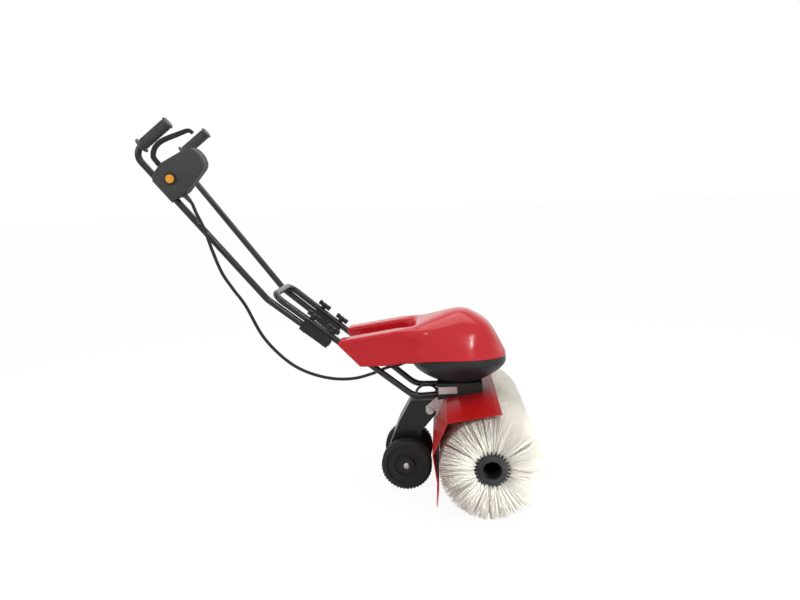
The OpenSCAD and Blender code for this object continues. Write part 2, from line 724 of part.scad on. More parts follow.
// Motor
module on_motor(z) {
    translate([motor_x, 0, z]) children();
}
rotor_gap = 1;
winding_depth = 23;
rotor_r = stator_r - winding_depth;
stack_inset = 2;
pole_gap_w = 8;
module stator() {
    color("#8a5a30") on_motor(stator_z) difference() {
        cylinder(r = stator_r, h = stator_h);
        translate([0, 0, -over]) cylinder(r = rotor_r + rotor_gap, h = stator_h + 2 * over);
        for (a = [0, 90]) rotate([0, 0, a]) translate([-stator_r + stator_wall, -pole_gap_w / 2, -over])
            cube([2 * (stator_r - stator_wall), pole_gap_w, stator_h + 2 * over]);
    }
}
shaft_foot_drop = 44;
shaft_foot_z = axis_z - shaft_foot_drop;
worm_half_len = 28;
bridge_z = stator_z + stator_h;
bridge_h = 44;
shaft_top = bridge_z + bridge_h - cover_wall;
commutator_r = 16;
commutator_h = 20;
module rotor() {
    color("#b0b0b4") {
        on_motor(shaft_foot_z) cylinder(d = motor_shaft_d, h = shaft_top - shaft_foot_z);
        on_motor(stator_z + stack_inset) cylinder(r = rotor_r, h = stator_h - 2 * stack_inset);
        on_motor(stator_z + stator_h + stack_inset) cylinder(r = commutator_r, h = commutator_h);
    }
}
fan_r = 52;
fan_h = 12;
fan_blades = 9;
fan_blade_t = 2;
fan_plate_t = 2;
fan_hub_r = 12;
fan_z = base_top + cover_wall + 2 * rotor_gap;
module fan() {
    color("#303034") on_motor(fan_z) difference() {
        union() {
            cylinder(r = fan_r, h = fan_plate_t);
            cylinder(r = fan_hub_r, h = fan_h);
            for (i = [0:fan_blades - 1]) rotate([0, 0, i * 360 / fan_blades])
                translate([fan_hub_r - fan_blade_t, 0, 0]) cube([fan_r - fan_hub_r, fan_blade_t, fan_h]);
        }
        translate([0, 0, -over]) cylinder(d = motor_shaft_d + 2 * run_fit, h = fan_h + 2 * over);
    }
}
module ball_bearing(inner_d, outer_d, h) {
    difference() {
        cylinder(d = outer_d, h = h);
        translate([0, 0, -over]) cylinder(d = inner_d, h = h + 2 * over);
    }
}
module lower_bearing() {
    color("silver") on_motor(base_top - bearing_h - cover_wall)
        ball_bearing(motor_shaft_d + 2 * run_fit, bearing_d, bearing_h);
}
upper_bearing_z = bridge_z + bridge_h - bearing_h - cover_wall;
module upper_bearing() {
    color("silver") on_motor(upper_bearing_z)
        ball_bearing(motor_shaft_d + 2 * run_fit, bearing_d, bearing_h);
}
module bearing_bridge() {
    skirt_r = stator_r - stator_wall;
    seat_r = bearing_d / 2 + seat_fit;
    roof = bridge_h - bearing_h - cover_wall;
    color("#55565a") on_motor(bridge_z) rotate_extrude() polygon([
        [skirt_r, 0], [stator_r, 0], [stator_r, roof], [seat_r + stator_wall, roof + stator_wall],
        [seat_r + stator_wall, bridge_h], [seat_r - stator_wall, bridge_h],
        [seat_r - stator_wall, bridge_h - cover_wall], [seat_r, bridge_h - cover_wall],
        [seat_r, roof], [seat_r - stator_wall, roof],
        [seat_r - stator_wall, roof - stator_wall], [skirt_r, roof - stator_wall]
    ]);
}

// Worm drive
gear_module = 2 * (worm_centre - worm_pitch_r) / wheel_teeth;
tooth_pitch = PI * gear_module;
wheel_pitch_r = worm_centre - worm_pitch_r;
wheel_face_w = 18;
worm_sides = 24;
worm_rings_per_pitch = 8;
worm_crest_share = 0.10;
worm_flank_share = 0.15;
dedendum_share = 1.25;
worm_root_r = worm_pitch_r - dedendum_share * gear_module;
worm_tip_r = worm_pitch_r + gear_module;
function wrap(z) = z - tooth_pitch * floor(z / tooth_pitch + 1 / 2);
function thread_r(z) =
    let (off = abs(wrap(z)), rise = (worm_crest_share + worm_flank_share) * tooth_pitch - off)
    worm_root_r + (worm_tip_r - worm_root_r) * max(0, min(1, rise / (worm_flank_share * tooth_pitch)));
module worm() {
    rings = floor(2 * worm_half_len / tooth_pitch * worm_rings_per_pitch);
    points = [for (i = [0:rings], k = [0:worm_sides - 1])
        let (z = -worm_half_len + 2 * worm_half_len * i / rings, a = 360 * k / worm_sides,
             r = thread_r(z - tooth_pitch * k / worm_sides))
        [r * cos(a), r * sin(a), z]];
    walls = [for (i = [0:rings - 1], k = [0:worm_sides - 1])
        let (a = i * worm_sides + k, b = i * worm_sides + (k + 1) % worm_sides)
        each [[a, a + worm_sides, b], [b, a + worm_sides, b + worm_sides]]];
    tail = rings * worm_sides;
    caps = [for (k = [1:worm_sides - 2]) each [[0, k, k + 1], [tail, tail + k + 1, tail + k]]];
    color("#9a9aa0") on_motor(axis_z) difference() {
        polyhedron(points, concat(walls, caps));
        translate([0, 0, -2 * worm_half_len])
            cylinder(d = motor_shaft_d + 2 * run_fit, h = 4 * worm_half_len);
    }
}
tooth_root_share = 0.30;
tooth_tip_share = 0.13;
wheel_tip_r = wheel_pitch_r + gear_module;
wheel_root_r = wheel_pitch_r - dedendum_share * gear_module;
module worm_wheel() {
    step = 360 / wheel_teeth;
    outline = [for (i = [0:wheel_teeth - 1])
        let (a = 180 + (i + 1 / 2) * step)
        each [for (c = [[-tooth_root_share, wheel_root_r], [-tooth_tip_share, wheel_tip_r],
                        [tooth_tip_share, wheel_tip_r], [tooth_root_share, wheel_root_r]])
            c.y * [cos(a + c.x * step), sin(a + c.x * step)]]];
    color("#b58a3a") translate([brush_x, wheel_face_w / 2, axis_z]) rotate([90, 0, 0])
        linear_extrude(wheel_face_w) difference() {
            polygon(outline);
            circle(d = output_shaft_d + 2 * seat_fit);
        }
}
case_wall = 5;
case_r = wheel_tip_r + gear_module + case_wall;
case_cavity_w = wheel_face_w + gear_module;
shaft_bearing_race = 11;
shaft_bearing_d = output_shaft_d + 2 * shaft_bearing_race;
shaft_bearing_w = 12;
seal_at = case_cavity_w / 2 + shaft_bearing_w;
worm_pit_z = axis_z - worm_half_len - gear_module;
case_foot_z = shaft_foot_z - case_wall;
screw_turns = [-60, 0, 60, 120];
case_lug_r = case_r;
case_lug_d = 12;
module at_case_screws() {
    for (a = screw_turns)
        translate([brush_x + case_lug_r * cos(a), 0, axis_z + case_lug_r * sin(a)])
            rotate([-90, 0, 0]) children();
}
module gear_case() {
    difference() {
        union() {
            along_y(brush_x, axis_z, -case_w / 2, case_w / 2, 2 * case_r);
            on_motor(case_foot_z) cylinder(d = tower_d, h = tower_top - case_foot_z);
            at_case_screws() translate([0, 0, -case_w / 2]) cylinder(d = case_lug_d, h = case_w);
        }
        along_y(brush_x, axis_z, -case_cavity_w / 2, case_cavity_w / 2, 2 * (wheel_tip_r + gear_module));
        along_y(brush_x, axis_z, -case_w, case_w, output_shaft_d + 2 * case_wall);
        along_y(brush_x, axis_z, -seal_at, seal_at, shaft_bearing_d + 2 * seat_fit);
        on_motor(worm_pit_z) cylinder(r = worm_tip_r + gear_module, h = tower_top - worm_pit_z + over);
        on_motor(shaft_foot_z - part_gap) cylinder(d = motor_shaft_d + 2 * run_fit, h = worm_half_len);
        at_case_screws() translate([0, 0, -case_w]) cylinder(d = screw_d + 2 * seat_fit, h = 2 * case_w);
    }
}
module half_space(side) {
    size = 4 * bowl_r;
    translate([brush_x - size / 2, side < 0 ? -size : 0, 0]) cube([size, size, size]);
}
module right_gear_case() {
    color("#3b3c40") intersection() {
        gear_case();
        half_space(-1);
    }
}
module left_gear_case() {
    color("#3b3c40") intersection() {
        gear_case();
        half_space(1);
    }
}
module case_screws() {
    color("silver") at_case_screws() {
        translate([0, 0, -case_w / 2 - screw_d]) cylinder(d = 2 * screw_d, h = screw_d);
        translate([0, 0, -case_w / 2 - screw_d / 2]) cylinder(d = screw_d, h = case_w + screw_d);
    }
}
shaft_half_len = 160;
pin_d = 8;
pin_at = 70;
module core_pin_place(s, d, h) {
    translate([brush_x, s * pin_at, axis_z - h / 2]) cylinder(d = d, h = h);
}
module output_shaft() {
    color("silver") difference() {
        along_y(brush_x, axis_z, -shaft_half_len, shaft_half_len, output_shaft_d);
        for (s = [-1, 1]) core_pin_place(s, pin_d + 2 * seat_fit, 2 * output_shaft_d);
    }
}
module shaft_bearings() {
    color("silver") both_sides() translate([brush_x, case_cavity_w / 2, axis_z]) rotate([-90, 0, 0])
        ball_bearing(output_shaft_d + 2 * run_fit, shaft_bearing_d, shaft_bearing_w);
}
seal_w = 8;
module shaft_seals() {
    color("#222222") both_sides() translate([brush_x, seal_at, axis_z]) rotate([-90, 0, 0])
        ball_bearing(output_shaft_d + 2 * run_fit, output_shaft_d + 2 * case_wall - 2 * seat_fit, seal_w);
}

// Brush halves
core_r = core_d / 2 - tuft_backing_t;
flange_t = 6;
half_start = brush_gap / 2;
half_end = brush_len / 2;
core_web_end = shaft_half_len + flange_t;
module brush_core() {
    color("#19191b") difference() {
        union() {
            along_y(brush_x, axis_z, half_start, half_end, 2 * core_r);
            along_y(brush_x, axis_z, half_end - flange_t, half_end, core_d);
        }
        along_y(brush_x, axis_z, half_start - over, shaft_half_len + part_gap,
            output_shaft_d + 2 * seat_fit);
        along_y(brush_x, axis_z, core_web_end, half_end + over, core_bore_d);
        core_pin_place(1, pin_d + 2 * seat_fit, core_d + 2 * over);
    }
}
module right_brush_core() { mirror([0, 1, 0]) brush_core(); }
module left_brush_core() { brush_core(); }
module core_pins() {
    color("silver") for (s = [-1, 1]) core_pin_place(s, pin_d, 2 * core_r - part_gap);
}

// Each half's strands grow out of one thin sleeve, a slice of the core
strand_root_share = 0.16;
strand_tip_share = 0.25;
strand_root_turn_share = 0.5;
strand_tip_turn_share = 0.22;
row_stagger = 4;
sleeve_clear_share = 1 / cos(90 / tufts_around);
function spin(r, a, y) = [brush_x + r * cos(a), y, axis_z + r * sin(a)];
module bristles() {
    start = half_start;
    end = half_end - flange_t;
    pitch = (end - start) / tuft_rows;
    step = 360 / tufts_around;
    m = 2 * tufts_around;
    function lag(i) = (i % row_stagger) * step / row_stagger;
    levels = concat([[start, 0]], [for (i = [0:tuft_rows - 1], s = [-1, 1])
        [start + (i + 1 / 2 + s * strand_root_share / 2) * pitch, lag(i)]], [[end, 0]]);
    turns = [for (j = [0:tufts_around - 1], s = [-1, 1])
        -90 + (j + s * strand_root_turn_share / 2) * step];
    in_r = (core_r + run_fit) * sleeve_clear_share;
    shell = [for (l = levels, a = turns) spin(core_d / 2, a + l[1], l[0])];
    lining = [for (y = [start, end], a = turns) spin(in_r, a, y)];
    tips = [for (i = [0:tuft_rows - 1], j = [0:tufts_around - 1])
        let (y = start + (i + 1 / 2) * pitch, h = strand_tip_share * pitch / 2,
             a = -90 + j * step + lag(i), w = strand_tip_turn_share * step / 2)
        each [spin(brush_r, a - w, y - h), spin(brush_r, a + w, y - h),
              spin(brush_r, a + w, y + h), spin(brush_r, a - w, y + h)]];
    lining_at = len(shell);
    tips_at = lining_at + len(lining);
    far_row = 2 * tuft_rows + 1;
    bare = [for (k = [0:far_row - 1], j = [0:m - 1]) if (k % 2 == 0 || j % 2 == 1)
        let (a = k * m + j, b = k * m + (j + 1) % m) each [[a, b, a + m], [b, b + m, a + m]]];
    strands = [for (i = [0:tuft_rows - 1], j = [0:tufts_around - 1])
        let (k = 2 * i + 1, a = k * m + 2 * j, root = [a, a + 1, a + 1 + m, a + m],
             t = tips_at + 4 * (i * tufts_around + j))
        each concat(
            [for (c = [0:3]) let (n = (c + 1) % 4)
                each [[root[c], root[n], t + c], [root[n], t + n, t + c]]],
            [[t, t + 1, t + 2], [t, t + 2, t + 3]])];
    rims = [for (j = [0:m - 1])
        let (n = (j + 1) % m, o0 = j, o1 = n, i0 = lining_at + j, i1 = lining_at + n,
             p0 = far_row * m + j, p1 = far_row * m + n, q0 = lining_at + m + j, q1 = lining_at + m + n)
        each [[o0, i0, o1], [o1, i0, i1], [i0, q0, i1], [i1, q0, q1], [q0, p0, q1], [q1, p0, p1]]];
    color("ivory") polyhedron(concat(shell, lining, tips), concat(bare, strands, rims));
}
module right_bristles() { mirror([0, 1, 0]) bristles(); }
module left_bristles() { bristles(); }

// Hood: one bent sheet over the brush
function across(a, b) = let (u = unit(b - a)) [-u.y, u.x];
function mitre(pts, i, d) =
    let (n = len(pts), before = across(pts[max(i - 1, 0)], pts[max(i, 1)]),
         after = across(pts[min(i, n - 2)], pts[min(i + 1, n - 1)]), split = unit(before + after))
    pts[i] + split * d / (split * before);
function band(pts, w) = concat(
    [for (i = [0:len(pts) - 1]) mitre(pts, i, w / 2)],
    [for (i = [len(pts) - 1:-1:0]) mitre(pts, i, -w / 2)]);
hood_front_run = 38;
hood_rear_run = 88;
hood_lip = 13;
hood_rear_drop = 85;
hood_rear_back = 40;
hood_flap_drop = 92;
hood_flap_in = 12;
hood_hem_drop = 44;
hood_hem_back = 6;
hood_mid_r = hood_in_r + hood_t / 2;
function hood_top(run) = [brush_x, axis_z] + run * [cos(hood_tilt), sin(hood_tilt)]
    + hood_mid_r * [-sin(hood_tilt), cos(hood_tilt)];
hood_knee = hood_top(-hood_rear_run) - [hood_rear_back, hood_rear_drop];
hood_waist = hood_knee + [hood_flap_in, -hood_flap_drop];
hood_line = [
    hood_top(hood_front_run) + [hood_lip, 0], hood_top(hood_front_run), hood_top(-hood_rear_run),
    hood_knee, hood_waist, hood_waist - [hood_hem_back, hood_hem_drop]
];
hood_bolt_d = 6;
hood_bolt_top = base_top - cover_wall;
hood_bolt_front_back = 30;
hood_bolt_rear_back = 96;
hood_bolt_half_w = 30;
hood_bolt_at = [for (b = [hood_bolt_front_back, hood_bolt_rear_back], s = [-1, 1])
    [brush_x - b, s * hood_bolt_half_w]];
arm_half_w = 40;
arm_t = 4;
tab_gap = 1;
tab_t = 4;
tab_in = arm_half_w + tab_gap;
module brush_hood() {
    color("#a81616") difference() {
        translate([0, hood_w / 2, 0]) rotate([90, 0, 0])
            linear_extrude(hood_w) polygon(band(hood_line, hood_t));
        on_motor(hood_knee.y) cylinder(d = tower_d + 2 * part_gap, h = tower_top);
        for (p = hood_bolt_at) translate([p.x, p.y, hood_knee.y])
            cylinder(d = hood_bolt_d + 2 * seat_fit, h = base_top);
        both_sides() translate([hood_knee.x - over, tab_in - part_gap, tab_foot - part_gap])
            cube([hood_knee_run, tab_t + 2 * part_gap, base_top - tab_foot]);
    }
}
hood_knee_run = hood_rear_back + tower_d / 3;
module hood_bolts() {
    head_h = 4;
    color("silver") for (p = hood_bolt_at) {
        seat = hood_under(p.x) - hood_bolt_d * sin(hood_tilt);
        translate([p.x, p.y, seat - head_h]) cylinder(d = 2 * hood_bolt_d, h = head_h, $fn = 6);
        translate([p.x, p.y, seat - over]) cylinder(d = hood_bolt_d, h = hood_bolt_top - seat - part_gap);
    }
}

// Wheel arm: a folded channel on a pivot behind the hood
pivot_back = 158;
pivot_z = 218;
pivot_d = 10;
pivot_x = brush_x - pivot_back;
axle_back = 229;
axle_x = brush_x - axle_back;
axle_z = wheel_d / 2;
arm_top_z = 247;
arm_crest_back = 213;
arm_nose_back = 146;
arm_chin_back = 141;
arm_chin_z = 206;
arm_waist_back = 184;
arm_waist_z = 156;
arm_toe_back = 205;
arm_foot_z = 52;
arm_heel_back = 250;
arm_hip_back = 284;
arm_hip_z = 100;
arm_spine_back = 249;
arm_spine_z = 185;
arm_outline = [
    [brush_x - arm_crest_back, arm_top_z], [brush_x - arm_nose_back, arm_top_z],
    [brush_x - arm_chin_back, arm_chin_z], [brush_x - arm_waist_back, arm_waist_z],
    [brush_x - arm_toe_back, arm_foot_z], [brush_x - arm_heel_back, arm_foot_z],
    [brush_x - arm_hip_back, arm_hip_z], [brush_x - arm_spine_back, arm_spine_z]
];
arm_hollow = [
    [brush_x - arm_crest_back + arm_t, arm_top_z - arm_t], [brush_x, arm_top_z - arm_t], [brush_x, 0],
    [brush_x - arm_hip_back + arm_t, 0], [brush_x - arm_hip_back + arm_t, arm_hip_z],
    [brush_x - arm_spine_back + arm_t, arm_spine_z]
];
module wheel_arm() {
    color("#1d1d1f") difference() {
        translate([0, arm_half_w, 0]) rotate([90, 0, 0])
            linear_extrude(2 * arm_half_w) polygon(arm_outline);
        translate([0, arm_half_w - arm_t, 0]) rotate([90, 0, 0])
            linear_extrude(2 * (arm_half_w - arm_t)) polygon(arm_hollow);
        along_y(pivot_x, pivot_z, -2 * arm_half_w, 2 * arm_half_w, pivot_d + 2 * run_fit);
        along_y(axle_x, axle_z, -2 * arm_half_w, 2 * arm_half_w, axle_d + 2 * run_fit);
    }
}
bow_d = 7;
bow_bend_r = 14;
bow_front_foot_back = 157;
bow_front_back = 134;
bow_front_z = 276;
bow_top_back = 168;
bow_top_z = 298;
bow_rear_back = 194;
bow_sink = 4;
module adjuster_bow() {
    foot_z = arm_top_z - bow_sink;
    color("#1d1d1f") difference() {
        bent_tube(
            [[brush_x - bow_front_foot_back, 0, foot_z], [brush_x - bow_front_back, 0, bow_front_z],
             [brush_x - bow_top_back, 0, bow_top_z], [brush_x - bow_rear_back, 0, foot_z]],
            [0, bow_bend_r, bow_bend_r, 0], bow_d, bow_d);
        translate([brush_x - arm_crest_back, -bow_d, arm_top_z - 2 * bow_d])
            cube([arm_crest_back, 2 * bow_d, 2 * bow_d]);
    }
}
tab_lobe_r = 12;
tab_lobe2_back = 130;
tab_lobe2_z = 207;
tab_foot = tab_lobe2_z - tab_lobe_r;
tab_front_back = tab_lobe2_back - tab_lobe_r;
module pivot_tab() {
    x_rear = brush_x - base_back;
    x_front = brush_x - tab_front_back;
    heel = pivot_x - tab_lobe_r + seat_fit;
    toe = pivot_x + tab_lobe_r - seat_fit;
    translate([0, tab_t, 0]) rotate([90, 0, 0]) linear_extrude(tab_t) difference() {
        union() {
            translate([pivot_x, pivot_z]) circle(r = tab_lobe_r);
            translate([brush_x - tab_lobe2_back, tab_lobe2_z]) circle(r = tab_lobe_r);
            polygon([
                [heel, pivot_z], [heel, pivot_z + tab_lobe_r], [x_rear, hood_over(x_rear)],
                [x_front - seat_fit, hood_over(x_front)], [x_front - seat_fit, tab_lobe2_z], [toe, pivot_z]
            ]);
        }
        translate([pivot_x, pivot_z]) circle(d = pivot_d + 2 * seat_fit);
    }
}
module pivot_tabs() {
    color("silver") both_sides() translate([0, tab_in, 0]) pivot_tab();
}
module pivot_bolt() {
    head_h = 6;
    reach = tab_in + tab_t;
    color("silver") {
        along_y(pivot_x, pivot_z, -reach, reach, pivot_d);
        for (s = [-1, 1]) translate([pivot_x, s * (reach + head_h / 2), pivot_z]) rotate([90, 0, 0])
            cylinder(d = 2 * pivot_d - 2 * tab_gap, h = head_h, center = true, $fn = 6);
    }
}

// Wheels
tread_teeth = 72;
tread_h = 2.5;
// One tread tooth: shares of a quarter pitch and of the tread's depth
tread_shares = [[-1, 0], [1, 0], [1.2, 1], [2.8, 1]];
recess_depth = 9;
recess_in_r = 22;
recess_out_r = 56;
step_r = 34;
step_h = 4;
hub_d = 30;
cap_d = 19;
cap_h = 6;
cap_seat = 4;
wheel_in = (wheel_track - wheel_w) / 2;
wheel_out = (wheel_track + wheel_w) / 2;
module wheel() {
    outline = [for (i = [0:tread_teeth - 1])
        each [for (c = tread_shares)
            let (a = -90 + (4 * i + c.x) * 90 / tread_teeth)
            (axle_z - c.y * tread_h) * [cos(a), sin(a)]]];
    color("#1b1b1d") translate([axle_x, wheel_in, axle_z]) rotate([-90, 0, 0]) difference() {
        union() {
            difference() {
                linear_extrude(wheel_w) polygon(outline);
                translate([0, 0, wheel_w - recess_depth]) rotate_extrude()
                    polygon([[recess_in_r, 0], [step_r, 0], [step_r, step_h], [recess_out_r, step_h],
                        [recess_out_r, recess_depth + over], [recess_in_r, recess_depth + over]]);
            }
            translate([0, 0, arm_half_w + tab_gap - wheel_in])
                cylinder(d = hub_d, h = wheel_w / 2 + wheel_in - arm_half_w);
        }
        translate([0, 0, -wheel_track]) cylinder(d = axle_d + 2 * run_fit, h = 2 * wheel_track);
    }
}
module right_wheel() { mirror([0, 1, 0]) wheel(); }
module left_wheel() { wheel(); }
axle_half_len = wheel_out + part_gap + cap_seat;
module wheel_axle() {
    color("silver") along_y(axle_x, axle_z, -axle_half_len, axle_half_len, axle_d);
}
module axle_caps() {
    color("silver") both_sides() translate([axle_x, wheel_out + part_gap, axle_z]) rotate([-90, 0, 0])
        difference() {
            cylinder(d = cap_d, h = cap_h);
            translate([0, 0, -over]) cylinder(d = axle_d + 2 * run_fit, h = cap_seat + over);
        }
}

lower_handle();
right_upper_handle();
left_upper_handle();
right_grip();
left_grip();
right_clamp();
left_clamp();
clamp_bolts();
right_rear_knob();
right_front_knob();
left_rear_knob();
left_front_knob();
switch_box_outer();
switch_box_inner();
switch_box_screws();
dead_man_lever();
lever_pin();
run_button();
button_bezel();
switch_block();
box_gland();
bowl_gland();
power_cord();
motor_cover();
cover_screws();
motor_bowl();
motor_base();
bare_plate();
stator();
rotor();
fan();
upper_bearing();
lower_bearing();
bearing_bridge();
worm();
right_gear_case();
left_gear_case();
case_screws();
worm_wheel();
output_shaft();
shaft_bearings();
shaft_seals();
right_brush_core();
left_brush_core();
right_bristles();
left_bristles();
core_pins();
brush_hood();
hood_bolts();
wheel_arm();
adjuster_bow();
wheel_axle();
axle_caps();
right_wheel();
left_wheel();
pivot_tabs();
pivot_bolt();
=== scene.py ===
import math

import bmesh
import bpy
from mathutils import Matrix, Vector


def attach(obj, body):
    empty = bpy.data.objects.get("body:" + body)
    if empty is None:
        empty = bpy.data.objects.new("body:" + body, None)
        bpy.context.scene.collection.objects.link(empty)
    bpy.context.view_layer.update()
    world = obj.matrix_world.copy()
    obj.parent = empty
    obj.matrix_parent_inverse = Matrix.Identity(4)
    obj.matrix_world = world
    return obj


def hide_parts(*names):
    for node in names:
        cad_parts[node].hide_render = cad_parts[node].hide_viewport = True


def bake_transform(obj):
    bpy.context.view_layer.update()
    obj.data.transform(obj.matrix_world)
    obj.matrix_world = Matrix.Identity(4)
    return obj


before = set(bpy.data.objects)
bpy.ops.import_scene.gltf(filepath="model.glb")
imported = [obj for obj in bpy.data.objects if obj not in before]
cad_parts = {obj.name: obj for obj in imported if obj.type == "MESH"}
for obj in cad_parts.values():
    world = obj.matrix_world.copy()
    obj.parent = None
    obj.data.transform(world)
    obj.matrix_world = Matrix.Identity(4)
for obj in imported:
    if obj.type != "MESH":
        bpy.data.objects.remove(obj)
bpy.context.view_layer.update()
scene = bpy.context.scene
scene.view_settings.view_transform = "Standard"


# Studio: a white sweep of paper under a broad overhead lamp, with a softbox at the front right,
# a fill at the left and a low narrow lamp on the brush.
# The paper shows white to the camera and still takes the soft shadow under the machine.
FLOOR_HALF = 40.0
FLOOR_Z = -0.0005
SHADOW_SHARE = 0.10
PAPER_TONE = (0.86, 0.86, 0.86, 1)
PAPER_GLOW = 1.035
ROOM_GLOW = 0.62
SHOWN_GLOW = 1.0
WHITE = (1, 1, 1, 1)


def feed(tree, target, values):
    # Fills a node's inputs by name or number: a socket is linked, anything else is set.
    for key, value in dict(values).items():
        if isinstance(value, bpy.types.NodeSocket):
            tree.links.new(value, target.inputs[key])
        else:
            target.inputs[key].default_value = value
    return target


def new_node(tree, kind, values=(), **settings):
    made = tree.nodes.new(kind)
    for key, value in settings.items():
        setattr(made, key, value)
    return feed(tree, made, values)


def linked(name, data):
    ob = bpy.data.objects.new(name, data)
    scene.collection.objects.link(ob)
    return ob


paper = bpy.data.materials.new("white_paper")
paper.use_nodes = True
tree = paper.node_tree
tree.nodes.clear()
lit = new_node(tree, "ShaderNodeBsdfDiffuse", {"Color": PAPER_TONE})
glow = new_node(tree, "ShaderNodeEmission", {"Color": WHITE, "Strength": PAPER_GLOW})
ray = new_node(tree, "ShaderNodeLightPath").outputs
seen = new_node(tree, "ShaderNodeMath", {0: ray["Is Camera Ray"], 1: 1 - SHADOW_SHARE},
                operation="MULTIPLY")
both = new_node(tree, "ShaderNodeMixShader",
                {"Fac": seen.outputs[0], 1: lit.outputs[0], 2: glow.outputs[0]})
new_node(tree, "ShaderNodeOutputMaterial", {"Surface": both.outputs[0]})
sheet = bpy.data.meshes.new("paper_floor")
sheet.from_pydata(
    [(x * FLOOR_HALF, y * FLOOR_HALF, FLOOR_Z) for x, y in ((-1, -1), (1, -1), (1, 1), (-1, 1))],
    [], [(0, 1, 2, 3)])
sheet.materials.append(paper)
floor = linked("paper_floor", sheet)

world = bpy.data.worlds.new("white_room")
scene.world = world
world.use_nodes = True
tree = world.node_tree
tree.nodes.clear()
room = new_node(tree, "ShaderNodeBackground", {"Color": WHITE, "Strength": ROOM_GLOW})
shown = new_node(tree, "ShaderNodeBackground", {"Color": WHITE, "Strength": SHOWN_GLOW})
ray = new_node(tree, "ShaderNodeLightPath").outputs
direct = new_node(tree, "ShaderNodeMath", {0: ray["Is Camera Ray"], 1: ray["Is Glossy Ray"]},
                  operation="MAXIMUM")
both = new_node(tree, "ShaderNodeMixShader",
                {"Fac": direct.outputs[0], 1: room.outputs[0], 2: shown.outputs[0]})
new_node(tree, "ShaderNodeOutputWorld", {"Surface": both.outputs[0]})


def softbox(name, place, target, size, watts, spread=180):
    lamp = bpy.data.lights.new(name, "AREA")
    lamp.shape = "RECTANGLE"
    lamp.size, lamp.size_y = size
    lamp.energy = watts
    lamp.spread = math.radians(spread)
    ob = linked(name, lamp)
    aim = Vector(target) - Vector(place)
    ob.rotation_euler = aim.to_track_quat("-Z", "Y").to_euler()
    ob.location = place


softbox("overhead_lamp", (0.5, 0.3, 2.9), (0.15, 0, 0.35), size=(2.2, 1.6), watts=26)
softbox("front_softbox", (1.5, -1.7, 2.3), (0.3, 0, 0.4), size=(0.13, 0.36), watts=5)
softbox("left_fill", (-2.2, -1.9, 1.6), (0, 0, 0.5), size=(1.6, 1.6), watts=14)
softbox("brush_lamp", (1.5, -1.55, 0.25), (0.45, -0.25, 0.06), size=(0.30, 0.30), watts=0.60,
        spread=20)


# Camera: two metres off, nearly square to the machine's right-hand side, and tilted down a little.
# Its three directions and its place were fitted to the outlines in the photograph.
SENSOR = 36.0
LENS = 31.5
camera_right = Vector((0.99746, 0.05641, -0.04370))
camera_up = Vector((0.03484, 0.14949, 0.98815))
camera_back = Vector((0.06227, -0.98716, 0.14715))
camera_place = Vector((0.2773, -1.9912, 0.8324))


def placing(x, y, z, place):
    # Matrix with three directions and a place as its columns.
    return Matrix((
        (x.x, y.x, z.x, place.x), (x.y, y.y, z.y, place.y), (x.z, y.z, z.z, place.z),
        (0, 0, 0, 1)))


camera = bpy.data.cameras.new("photo_camera")
camera.sensor_width = SENSOR
camera.lens = LENS
eye = linked("photo_camera", camera)
eye.matrix_world = placing(camera_right, camera_up, camera_back, camera_place)
scene.camera = eye


# Cable: round black rubber lead from the control box to the motor bowl, held only at its ends.
# It leaves each housing through a moulded strain relief with cut ribs.
CORD_D = 0.009
CORD_SIDES = 14
CORD_STEPS = 10
COAT_ROUGHNESS = 0.06
BUMP_DEPTH = 0.0006
NOISE_LOW = 0.3
NOISE_HIGH = 0.7
MERGE = 0.00001
cord_places = [
    (-0.38236, -0.15552, 0.84300), (-0.370, -0.153, 0.811), (-0.352, -0.150, 0.765),
    (-0.337, -0.146, 0.708), (-0.318, -0.140, 0.648), (-0.293, -0.134, 0.602),
    (-0.263, -0.128, 0.553), (-0.227, -0.120, 0.471), (-0.186, -0.111, 0.414),
    (-0.141, -0.101, 0.372), (-0.091, -0.091, 0.345), (-0.037, -0.080, 0.329),
    (0.017, -0.070, 0.326), (0.067, -0.061, 0.336), (0.111, -0.053, 0.351),
    (0.141, -0.047, 0.355), (0.16664, -0.04142, 0.36200)]
cord_points = [Vector(place) for place in cord_places]
cord_out = Vector((0.611184, 0.092899, -0.786018))
cord_in = Vector((0.963630, 0.267238, 0.0))


def vary(tree, scale, low, high, detail, stretch):
    # Fine noise on the piece's own coordinates, spread between two values.
    coords = new_node(tree, "ShaderNodeTexCoord")
    mapping = new_node(tree, "ShaderNodeMapping",
                       {"Vector": coords.outputs["Object"], "Scale": stretch})
    noise = new_node(tree, "ShaderNodeTexNoise",
                     {"Vector": mapping.outputs["Vector"], "Scale": scale, "Detail": detail})
    spread = new_node(tree, "ShaderNodeMapRange", {
        "Value": noise.outputs["Fac"], "From Min": NOISE_LOW, "From Max": NOISE_HIGH,
        "To Min": low, "To Max": high})
    return spread.outputs["Result"]


